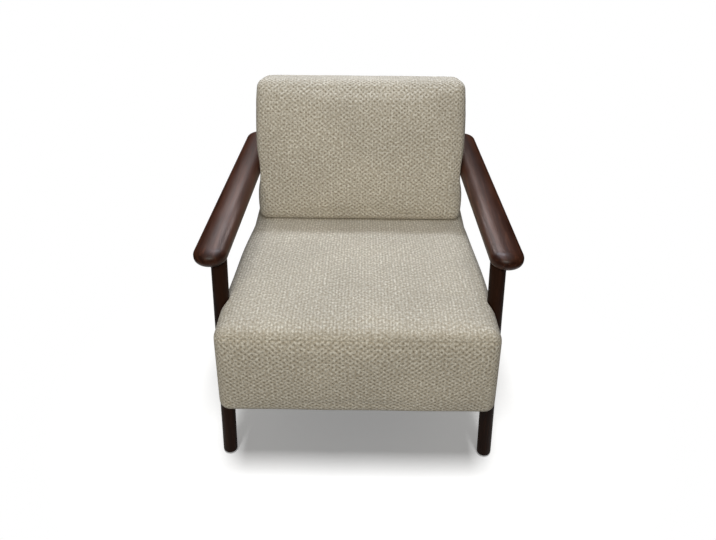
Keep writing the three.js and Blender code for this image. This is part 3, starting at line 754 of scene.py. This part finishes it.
def setPositions(piece, points):
    piece.data.vertices.foreach_set("co", np.asarray(points, np.float32).ravel())
    piece.data.update()


inflation = {
    "frames": 20,
    "quality": 5,
    "mass": 0.3,
    "stiffness": 60.0,
    "bending": 2.0,
    "pressure": 0.8,
    "slide": 0.3,  # share of the cap that is left for moves along the surface
}


def swell(piece, mostOut, looseness):
    # Inflates the cover with cloth, then lets each point move out by no more than its own cap
    rest = positions(piece)
    normals = outwards(piece)
    modifier = piece.modifiers.new("swell", "CLOTH")
    cloth = modifier.settings
    cloth.quality = inflation["quality"]
    cloth.mass = inflation["mass"]
    cloth.tension_stiffness = cloth.compression_stiffness = inflation["stiffness"]
    cloth.shear_stiffness = inflation["stiffness"] / 2
    cloth.bending_stiffness = inflation["bending"]
    cloth.use_pressure = True
    cloth.uniform_pressure_force = inflation["pressure"]
    cloth.effector_weights.gravity = 0.0
    modifier.collision_settings.use_collision = False
    modifier.point_cache.frame_start = 1
    modifier.point_cache.frame_end = inflation["frames"]
    for moment in range(1, inflation["frames"] + 1):
        scene.frame_set(moment)
    view = bpy.context.evaluated_depsgraph_get()
    swollen = piece.evaluated_get(view).to_mesh()
    move = readVectors(swollen.vertices, "co") - rest
    piece.evaluated_get(view).to_mesh_clear()
    piece.modifiers.remove(modifier)
    scene.frame_set(1)
    out = np.sum(move * normals, axis=1)[:, None]
    slide = move - out * normals
    cap = np.maximum(mostOut * looseness[:, None], 1e-6)
    slideSize = np.maximum(np.linalg.norm(slide, axis=1)[:, None], 1e-9)
    most, middle = out.max() * 1000, np.median(out) * 1000
    print(f"{piece.name} swelled by up to {most:.1f} mm, middle value {middle:.1f} mm")
    kept = normals * cap * np.tanh(np.maximum(out, 0) / cap)
    kept += slide / slideSize * inflation["slide"] * cap * np.tanh(slideSize / cap)
    setPositions(piece, rest + kept)


def wander(points, scale, amount, seed):
    # Slow unevenness of stuffing, as offset waves
    x, y, z = (points * (2 * math.pi * scale)).T
    mixed = np.sin(x + seed) * np.sin(y * 1.3 + 2 * seed) * np.sin(z * 0.9 + 3 * seed)
    mixed += 0.6 * np.sin(x * 1.9 + 5 * seed) * np.cos(y * 1.7 - seed + z * 1.1)
    return amount * mixed


def stuff(piece, size, looseness):
    # Swells the cover and makes the stuffing uneven
    swell(piece, size["cap"], looseness)
    points = positions(piece)
    away = points - points.mean(axis=0)
    away /= np.linalg.norm(away, axis=1)[:, None]
    return points + away * (wander(points, *size["unevenness"]) * looseness)[:, None]


seatPad = {
    "frontHalfWidth": 0.292,
    "taper": 0.022,
    "frontOverhang": 0.135,
    "underside": 0.262,
    "radius": 0.024,
    "fullness": 2.0,
    "inset": 0.0005,
    "frontRise": 0.020,  # the top is higher at the front
    "frontLean": 0.008,
    "crown": 0.0045,
    "frontCrown": 0.003,
    "footFlare": 0.004,
    "sideCrown": 0.0005,
    "seamShare": 0.42,  # of the rounded top edge, from its foot
    "stretch": (1.05, 1.04),  # of the weave, pulled tight
    "frontEase": 1.08,  # less so down the front
    "frontShift": 1.0,  # the front is cut from another part of the cloth
    "step": 0.009,
    "edgeSteps": 4,
    "cap": 0.004,  # the most that the cover swells where it is fully loose
    "unevenness": (2.6, 0.0012, 0.7),  # waves per metre, height, seed
    "freeFrom": 0.012,  # in front of the back, which holds the top down
    "freeFade": 0.006,
    "loose": {"least": 0.05, "held": 0.1, "free": 0.9, "front": 0.7, "sides": 0.25},
    "paintedToplight": (1.4, 0.3),  # slope and loss, from how level the cloth lies: a mask of painted top light, which fades the weave's painted pit shade on cloth that faces up
    "legClear": 0.0006,
    "dentSlope": 1.4,  # of the cloth on both sides of a front leg
    "dentReach": 0.06,
}
seatHalf = [
    seatPad["frontHalfWidth"],
    (rearSetback + seatPad["frontOverhang"]) / 2,
    (seatTop - seatPad["underside"]) / 2,
]


def seatShape(points):
    size = seatPad
    depth = rearSetback + size["frontOverhang"]
    openDepth = backSetback + size["frontOverhang"]
    across, along, up = (points / np.array(seatHalf)).T
    height = (seatTop + size["underside"]) / 2 + points[:, 2]
    front = legLine - size["frontOverhang"] + size["frontLean"] * (1 + up) / 2
    y = front + (rearFaceAt(height) - front) * (1 + along) / 2
    reach = np.clip((1 + along) / 2 * depth / openDepth, 0, 1)
    flare = size["footFlare"] * (1 - up) / 2 + size["sideCrown"] * (1 - up**2)
    halfWidth = size["frontHalfWidth"] - size["taper"] * reach**2 + flare
    crown = size["crown"] * (1 - across**2) * np.sin(np.pi * reach)
    rise = (size["frontRise"] * (1 - reach) + crown) * np.maximum(0, up) ** 2
    bulge = size["frontCrown"] * (1 - across**2) * (1 - up**2) * np.maximum(0, -along) ** 8
    return np.stack([across * halfWidth, y - bulge, height + rise], axis=1)


def seatCloth(flat, axis, high):
    x, y, z = flat
    down = seatHalf[2] - z
    if axis == 0:
        x = (1 if high else -1) * (abs(x) + down)
    elif axis == 1:
        y = y + down if high else (z - seatPad["frontShift"]) * seatPad["frontEase"]
    return (x / seatPad["stretch"][0], y / seatPad["stretch"][1])


def pressBesideLegs(points):
    # The front legs press into the sides
    across = np.abs(points[:, 0])
    beside = np.abs(points[:, 1] - legLine)
    clear = leg["radius"] + seatPad["legClear"]
    face = frontLegAt(points[:, 2]) - np.sqrt(np.maximum(clear**2 - beside**2, 0.0))
    face = face + np.maximum(0, beside - clear) * seatPad["dentSlope"]
    over = np.maximum(0, across - face) * (beside < seatPad["dentReach"])
    points[:, 0] -= np.sign(points[:, 0]) * over
    return points


def makeSeatPad():
    size, loose = seatPad, seatPad["loose"]
    half = [value - size["inset"] for value in seatHalf]
    radius = size["radius"] - size["inset"]
    seamAt = half[2] - radius + radius * size["seamShare"]
    piece, flat = paddedPiece("seat_pad", size, half, radius, 2, seamAt, seatShape, seatCloth)
    points = positions(piece)
    facing = outwards(piece)
    freeEnd = backFaceAt(seatTop) - size["freeFrom"]
    free = 1 / (1 + np.exp((points[:, 1] - freeEnd) / size["freeFade"]))
    looseness = loose["least"] + np.maximum(0, facing[:, 2]) * (loose["held"] + loose["free"] * free)
    looseness = looseness + loose["front"] * np.maximum(0, -facing[:, 1])
    looseness = looseness + loose["sides"] * np.abs(facing[:, 0])
    points = sinkSeam(stuff(piece, size, looseness), facing, flat, 2, seamAt)
    # Painted light: how much the cloth faces up, so that the weave's pits are painted lighter there
    slope, loss = size["paintedToplight"]
    paintedToplight = piece.data.attributes.new("paintedToplight", "FLOAT", "POINT")
    paintedToplight.data.foreach_set("value", np.clip(slope * facing[:, 2] - loss, 0, 1).astype(np.float32))
    setPositions(piece, pressBesideLegs(points))
    return piece


backPad = {
    "footHalfWidth": 0.260,
    "topHalfWidth": 0.254,
    "faceLength": 0.348,
    "sink": 0.002,
    "radius": 0.024,
    "inset": 0.0005,
    "fullness": 2.6,
    "rearFlare": 0.006,  # wider towards the rear of the top
    "rearLift": 0.003,
    "topRoll": 0.010,  # the face leans back further near its top
    "topRollReach": 0.070,
    "topDraw": 0.001,  # the sides come in towards the top edge and the foot
    "topDrawReach": 0.022,
    "footDraw": 0.005,
    "footDrawReach": 0.025,
    "faceCrown": 0.012,
    "topCrown": 0.0015,
    "rearCrown": 0.003,
    "sideCrown": 0.003,
    "pinchSpread": 0.035,
    "pinchCore": 0.003,
    "armClear": 0.0008,
    "seatClear": 0.0012,
    "sideShift": 3.0,  # sides and rear are cut from other parts of the cloth
    "rearShift": 5.0,
    "step": 0.009,
    "edgeSteps": 4,
    "cap": 0.0045,
    "unevenness": (3.1, 0.0010, 1.9),
    "loose": {"least": 0.1, "front": 0.9, "rear": 0.5, "sides": 0.2, "foot": 0.02, "footShare": 0.125},
}
topFront = np.array([
    legLine + backSetback + backPad["faceLength"] * math.sin(recline),
    seatTop + backPad["faceLength"] * math.cos(recline),
])
topDepth = (rearFaceAt(topFront[1]) - topFront[0]) / (math.cos(recline) + math.sin(recline) * rearSlope)
topRear = topFront + topDepth * np.array([math.cos(recline), -math.sin(recline)])
backFoot = seatTop - backPad["sink"]
backHalf = [
    backPad["footHalfWidth"],
    (topDepth + rearFaceAt(backFoot) - backFaceAt(backFoot)) / 4,
    (backPad["faceLength"] + backPad["sink"]) / 2,
]


def backShape(points):
    size = backPad
    across, along, up = (points / np.array(backHalf)).T
    rise = ((1 + up) / 2)[:, None]
    front = np.array([backFaceAt(backFoot), backFoot]) * (1 - rise) + topFront * rise
    rear = np.array([rearFaceAt(backFoot), backFoot]) * (1 - rise) + topRear * rise
    share = ((1 + along) / 2)[:, None]
    spot = front * (1 - share) + rear * share
    middle = 1 - across**2
    bulge = size["faceCrown"] * np.maximum(0, -along) ** 3 - size["rearCrown"] * np.maximum(0, along) ** 3
    roll = np.clip(1 - (1 - up) * backHalf[2] / size["topRollReach"], 0, 1) ** 2 * (1 - share[:, 0])
    y = spot[:, 0] - bulge * middle * (1 - up**2) + size["topRoll"] * roll
    lift = size["topCrown"] * middle * (1 - along**2) + size["rearLift"] * share[:, 0]
    height = spot[:, 1] + lift * np.maximum(0, up) ** 3
    halfWidth = size["footHalfWidth"] + (size["topHalfWidth"] - size["footHalfWidth"]) * rise[:, 0]
    halfWidth = halfWidth + size["sideCrown"] * (1 - up**2) + size["rearFlare"] * rise[:, 0] * share[:, 0]
    halfWidth = halfWidth - size["topDraw"] * np.exp(-(1 - up) * backHalf[2] / size["topDrawReach"])
    halfWidth = halfWidth - size["footDraw"] * np.exp(-(1 + up) * backHalf[2] / size["footDrawReach"])
    return np.stack([across * halfWidth, y, height], axis=1)


def backCloth(flat, axis, high):
    x, y, z = flat
    way = 1 if high else -1
    if axis == 2:
        return (x, way * (z + y + backHalf[1]))
    if axis == 0:
        return (y + way * backPad["sideShift"], z)
    return (x, z + backPad["rearShift"]) if high else (x, z)


def pressBesideArms(points):
    # The sides give way to the armrests and stay drawn in a little above and below them
    across = np.abs(points[:, 0])
    offset = np.abs(points[:, 2] - armMiddleAt(points[:, 1]))
    centre = armCentreAt(points[:, 1]) - backPad["armClear"]
    share = np.clip(offset / armrest["halfThickness"], 0, 1)
    section = armrest["halfWidth"] * (1 - share ** armrest["fullness"]) ** (1 / armrest["fullness"])
    face = np.where(offset < armrest["halfThickness"], centre - section, np.inf)
    gap = np.maximum(0, offset - backPad["pinchCore"])
    depth = np.maximum(0, across - (centre - armrest["halfWidth"]))
    pulled = across - depth * np.exp(-((gap / backPad["pinchSpread"]) ** 2))
    points[:, 0] = np.sign(points[:, 0]) * np.minimum(np.minimum(across, pulled), face)
    return points


def makeBackPad():
    size, loose = backPad, backPad["loose"]
    half = [value - size["inset"] for value in backHalf]
    radius = size["radius"] - size["inset"]
    seamAt = half[1] - radius  # where the rear panel is sewn on
    piece, flat = paddedPiece("back_pad", size, half, radius, 1, seamAt, backShape, backCloth)
    points = positions(piece)
    facing = outwards(piece)
    upward = (points[:, 2] - seatTop) / (topFront[1] - seatTop)
    looseness = loose["least"] + loose["front"] * np.maximum(0, -facing[:, 1])
    looseness = looseness + loose["rear"] * np.maximum(0, facing[:, 1])
    looseness = looseness + loose["sides"] * np.abs(facing[:, 0])
    looseness = looseness * np.clip(upward / loose["footShare"], loose["foot"], 1)
    points = sinkSeam(stuff(piece, size, looseness), facing, flat, 1, seamAt)
    points = pressBesideArms(points)
    points[:, 2] = np.maximum(points[:, 2], seatTop + size["seatClear"])
    setPositions(piece, points)
    return piece


def subdivideOnce(piece):
    modifier = piece.modifiers.new("finer", "SUBSURF")
    modifier.levels = modifier.render_levels = 1
    modifier.uv_smooth = "PRESERVE_BOUNDARIES"
    view = bpy.context.evaluated_depsgraph_get()
    smoothed = piece.evaluated_get(view)
    finer = bpy.data.meshes.new_from_object(smoothed, preserve_all_data_layers=True, depsgraph=view)
    piece.modifiers.remove(modifier)
    piece.data = finer
    piece.data.shade_smooth()


seat = makeSeatPad()
back = makeBackPad()
for piece in (seat, back):
    subdivideOnce(piece)
linkLight(clothLight, "INCLUDE", seat, back)
finishPiece(seat, "woven_cover", "seat_cover", "seat_foam")
finishPiece(back, "woven_cover", "back_cover", "back_foam")
print("padded blocks")


# Dust cover: black cloth stretched under the frame, its hem folded in and stapled

dustCover = {
    "top": 0.2620,  # against the seat cover's turned-in edge
    "thickness": 0.0007,
    "hem": 0.0006,  # thicker where the edge is folded in
    "hemWidth": 0.014,
    "overlap": 0.010,  # past the opening in the seat cover
    "narrowing": 0.0384,  # per side, for each metre towards the rear
    "sag": 0.005,
    "pucker": 0.0005,
    "puckerSlant": 1.3,
    "puckerInset": 0.02,
    "puckerSpread": 0.012,
    "legGap": 0.007,
    "step": 0.009,
    "edgeStep": 0.0004,  # to the first row in from the edge
    "arcSteps": 7,
}
staple = {
    "pitch": 0.042,
    "length": 0.010,
    "wire": 0.00055,
    "standoff": 0.6,  # of the wire's radius, below the cloth
    "inset": 0.006,
    "pathStep": 0.005,
    "sideSteps": 8,
}
stapleSizes = {"Pitch": staple["pitch"], "Length": staple["length"], "Wire": staple["wire"]}


def hemLines(low, high, *extra):
    hem = dustCover["hemWidth"]
    core = high - low - 2 * hem
    count = round(core / dustCover["step"])
    lines = [low + hem + core * index / count for index in range(count + 1)]
    edge = (0.0, dustCover["edgeStep"], 0.5 * hem, 0.9 * hem)
    lines += [low + away for away in edge] + [high - away for away in edge]
    return np.array(sorted([*lines, *extra]))


def clothEnds():
    low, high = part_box("seat_dust_cover")
    return low.y - dustCover["overlap"], high.y + dustCover["overlap"]


def legCut():
    # Middle and radius of the cut round the right rear leg
    return rearLegPoint("right", 1, dustCover["top"]), leg["radius"] + dustCover["legGap"]


def dustHalfAt(y):
    # Half width of the cloth, cut round the rear legs
    low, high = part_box("seat_dust_cover")
    half = high.x + dustCover["overlap"] - (y - low.y) * dustCover["narrowing"]
    middle, clear = legCut()
    before = np.minimum(y - middle.y, 0.0)
    cut = middle.x - np.sqrt(np.maximum(clear**2 - before**2, 0.0))
    return np.where(before > -clear, np.minimum(half, cut), half)


def makeDustCover():
    size = dustCover
    front, rear = clothEnds()
    middle, clear = legCut()
    nearEdge = size["edgeStep"] / 2
    turns = [math.pi / 2 * index / size["arcSteps"] for index in range(size["arcSteps"] + 1)]
    arc = [middle.y - clear * math.cos(turn) * 0.9999 for turn in turns]  # the first just inside the cut
    rows = hemLines(front, rear, middle.y - clear - nearEdge, *arc)
    half = dustHalfAt(rows)
    shares = hemLines(-half[0], half[0]) / half[0]
    x = half[:, None] * shares[None, :]
    y = np.repeat(rows[:, None], len(shares), axis=1)
    inside = np.minimum(half[:, None] - np.abs(x), np.minimum(y - front, rear - y))
    along = (y - front) / (rear - front)
    sag = size["sag"] * (1 - shares[None, :] ** 2) * (1 - (2 * along - 1) ** 2)
    ripple = np.cos(2 * math.pi * (x + size["puckerSlant"] * y) / staple["pitch"])
    ripple = ripple * np.exp(-((inside - size["puckerInset"]) / size["puckerSpread"]) ** 2)
    top = size["top"] - sag - size["pucker"] * (1 + ripple) * np.clip(inside / size["hemWidth"], 0, 1)
    folded = (inside < 0.95 * size["hemWidth"]) & (inside > nearEdge)
    under = top - size["thickness"] - size["hem"] * folded
    rowCount, columnCount = x.shape
    spots = [(i, j) for i in range(rowCount) for j in range(columnCount)]
    points = [(x[i, j], y[i, j], level[i, j]) for level in (under, top) for i, j in spots]
    layer = rowCount * columnCount
    faces = []
    for i in range(rowCount - 1):
        for j in range(columnCount - 1):
            a = i * columnCount + j
            faces.append((a, a + columnCount, a + columnCount + 1, a + 1))
            faces.append((layer + a, layer + a + 1, layer + a + columnCount + 1, layer + a + columnCount))
    lastRow, lastColumn = rowCount - 1, columnCount - 1
    rim = [(0, j) for j in range(lastColumn)] + [(i, lastColumn) for i in range(lastRow)]
    rim += [(lastRow, j) for j in range(lastColumn, 0, -1)] + [(i, 0) for i in range(lastRow, 0, -1)]
    ring = [i * columnCount + j for i, j in rim]
    faces += [(a, b, layer + b, layer + a) for a, b in zip(ring, ring[1:] + ring[:1])]
    piece = meshPiece("dust_cover_cloth", points, faces, materials["underCloth"])
    tidyMesh(piece)
    finishPiece(piece, "under_cloth", "seat_dust_cover")


def pathThrough(corners, step):
    # A closed line with a point every step, so that each stretch keeps its own direction
    path = []
    for (x, y), (nextX, nextY) in zip(corners, corners[1:] + corners[:1]):
        count = max(1, round(math.hypot(nextX - x, nextY - y) / step))
        shares = [index / count for index in range(count)]
        path += [(x + (nextX - x) * share, y + (nextY - y) * share) for share in shares]
    return path


def staplePath():
    # Along the cloth's edge, and straight across at the rear legs
    size, inset = dustCover, staple["inset"]
    front, rear = clothEnds()
    middle, clear = legCut()
    places = np.linspace(front + inset, middle.y - clear - inset, staple["sideSteps"] + 1)
    edge = [(float(dustHalfAt(y)) - inset, float(y)) for y in places]
    edge += [(float(middle.x - clear - inset), float(rear - inset))]
    edge += [(-x, y) for x, y in reversed(edge)]
    level = size["top"] - size["thickness"] - size["hem"] - staple["wire"] * staple["standoff"]
    return [(x, y, level) for x, y in pathThrough(edge, staple["pathStep"])]


def stapleTree():
    # Staples along a closed path, one every pitch, turned with the path
    tree = bpy.data.node_groups.new("staplesAlongPath", "GeometryNodeTree")
    tree.interface.new_socket("Path", in_out="INPUT", socket_type="NodeSocketGeometry")
    for name, value in stapleSizes.items():
        tree.interface.new_socket(name, in_out="INPUT", socket_type="NodeSocketFloat").default_value = value
    tree.interface.new_socket("Staples", in_out="OUTPUT", socket_type="NodeSocketGeometry")
    sheet = NodeSheet(tree)
    given = sheet.add("NodeGroupInput").outputs
    mode = {"mode": "LENGTH"}
    spots = sheet.add("GeometryNodeCurveToPoints", mode, Curve=given["Path"], Length=given["Pitch"]).outputs
    halfLength = sheet.maths("MULTIPLY", given["Length"], 0.5)
    start = sheet.add("ShaderNodeCombineXYZ", X=sheet.maths("MULTIPLY", halfLength, -1.0)).outputs[0]
    end = sheet.add("ShaderNodeCombineXYZ", X=halfLength).outputs[0]
    crown = sheet.add("GeometryNodeCurvePrimitiveLine", Start=start, End=end).outputs[0]
    section = sheet.add("GeometryNodeCurvePrimitiveCircle", Resolution=8, Radius=given["Wire"]).outputs[0]
    wire = sheet.add("GeometryNodeCurveToMesh", Curve=crown, Profile_Curve=section, Fill_Caps=True).outputs[0]
    turned = sheet.add("FunctionNodeAlignRotationToVector", {"axis": "X"}, Vector=spots["Tangent"]).outputs[0]
    placed = sheet.add("GeometryNodeInstanceOnPoints", Points=spots["Points"], Instance=wire, Rotation=turned)
    real = sheet.add("GeometryNodeRealizeInstances", Geometry=placed.outputs[0])
    finished = sheet.add("GeometryNodeSetMaterial", Geometry=real.outputs[0], Material=materials["steel"])
    sheet.feed(sheet.add("NodeGroupOutput"), "Staples", finished.outputs[0])
    return tree


def addStaples(path):
    curve = bpy.data.curves.new("stapleLine", "CURVE")
    curve.dimensions = "3D"
    line = curve.splines.new("POLY")
    line.points.add(len(path) - 1)
    for spot, place in zip(line.points, path):
        spot.co = (*place, 1.0)
    line.use_cyclic_u = True
    guide = bpy.data.objects.new("stapleLine", curve)
    scene.collection.objects.link(guide)
    tree = stapleTree()
    modifier = guide.modifiers.new("staples", "NODES")
    modifier.node_group = tree
    for item in tree.interface.items_tree:
        if item.item_type == "SOCKET" and item.in_out == "INPUT" and item.name in stapleSizes:
            modifier[item.identifier] = stapleSizes[item.name]
    view = bpy.context.evaluated_depsgraph_get()
    made = bpy.data.meshes.new_from_object(guide.evaluated_get(view), depsgraph=view)
    guide.modifiers.remove(modifier)
    bpy.data.objects.remove(guide)
    piece = bpy.data.objects.new("dust_cover_staples", made)
    scene.collection.objects.link(piece)
    tidyMesh(piece)
    finishPiece(piece, "steel")
    print(f"staples: {len(made.vertices)} points")


makeDustCover()
addStaples(staplePath())
print("dust cover and staples")


# Floor and background

floorLook = {
    "size": 14.0,
    "ambient": 0.13,
    "ambientTint": (1.0, 0.985, 0.94, 1.0),
    "seenColour": 1.5,  # bright, so that only the chair's own shadow is grey
    "bounceColour": 0.46,
    "shadowLift": 0.207,
    "whiteFrom": 0.5,
    "whiteFully": 0.85,
}


def seenShare(sheet):
    # 1 for what the camera sees, also in gloss and through glass, and 0 for the light itself
    rays = sheet.add("ShaderNodeLightPath").outputs
    indirect = sheet.maths("ADD", rays["Is Glossy Ray"], rays["Is Transmission Ray"])
    return sheet.maths("MINIMUM", sheet.maths("ADD", rays["Is Camera Ray"], indirect), 1.0)


def bareMaterial(name):
    material = bpy.data.materials.new(name)
    material.use_nodes = True
    material.node_tree.nodes.clear()
    return material, NodeSheet(material.node_tree)


def addFloor(look):
    material, sheet = bareMaterial("studioFloor")
    seen = seenShare(sheet)
    place = sheet.add("ShaderNodeTexCoord").outputs["Object"]
    reach = sheet.add("ShaderNodeVectorMath", {"operation": "LENGTH"})
    sheet.feed(reach, "0", place)
    far = sheet.between(reach.outputs["Value"], look["whiteFrom"], look["whiteFully"])
    near = sheet.maths("SUBTRACT", 1.0, far)
    unseen = sheet.maths("SUBTRACT", 1.0, seen)
    shade = sheet.between(seen, 0.0, 1.0, look["bounceColour"], look["seenColour"], smooth=False)
    colour = sheet.grey(sheet.maths("MULTIPLY", shade, sheet.maths("MAXIMUM", near, unseen)))
    lifted = sheet.between(far, 0.0, 1.0, look["shadowLift"], 1.0, smooth=False)
    strength = sheet.maths("MULTIPLY", seen, lifted)
    glow = sheet.add("ShaderNodeEmission", Color=(1.0, 1.0, 1.0, 1.0), Strength=strength).outputs[0]
    both = sheet.add("ShaderNodeAddShader")
    sheet.feed(both, "0", sheet.add("ShaderNodeBsdfDiffuse", Color=colour).outputs[0])
    sheet.feed(both, "1", glow)
    sheet.feed(sheet.add("ShaderNodeOutputMaterial"), "Surface", both.outputs[0])
    half = look["size"] / 2
    corners = [(-half, -half, 0.0), (half, -half, 0.0), (half, half, 0.0), (-half, half, 0.0)]
    floor = meshPiece("studio_floor", corners, [(0, 1, 2, 3)], material, smooth=False)
    linkLight(floorLight, "INCLUDE", floor)
    linkLight(chairLight, "EXCLUDE", floor)


def addWorld(look):
    world = bpy.data.worlds.new("studio")
    scene.world = world
    world.use_nodes = True
    world.node_tree.nodes.clear()
    sheet = NodeSheet(world.node_tree)
    seen = seenShare(sheet)
    strength = sheet.between(seen, 0.0, 1.0, look["ambient"], 1.0, smooth=False)
    colour = sheet.mix(seen, look["ambientTint"], (1.0, 1.0, 1.0, 1.0))
    background = sheet.add("ShaderNodeBackground", Color=colour, Strength=strength)
    sheet.feed(sheet.add("ShaderNodeOutputWorld"), "Surface", background.outputs[0])


flags = {
    "nearRadius": 1.0,
    "nearFoot": 0.002,
    "nearTop": 0.85,
    "farRadius": 2.3,
    "farTop": 5.0,
    "sides": 48,
}


def addFlag(name, radius, low, high):
    # A dark screen round the chair that only its reflections see, as a studio sets up beside polished wood
    material, sheet = bareMaterial(name)
    dark = sheet.add("ShaderNodeEmission", Color=(0.0, 0.0, 0.0, 1.0), Strength=0.0)
    sheet.feed(sheet.add("ShaderNodeOutputMaterial"), "Surface", dark.outputs[0])
    points = ringPoints([(radius, low), (radius, high)], flags["sides"])
    screen = meshPiece(name, points, ringFaces(2, flags["sides"]), material, smooth=False)
    screen.visible_camera = screen.visible_diffuse = False
    screen.visible_transmission = screen.visible_shadow = False


addFloor(floorLook)
addWorld(floorLook)
addFlag("near_flag", flags["nearRadius"], flags["nearFoot"], flags["nearTop"])
addFlag("far_flag", flags["farRadius"], flags["nearTop"], flags["farTop"])
print("floor and background")
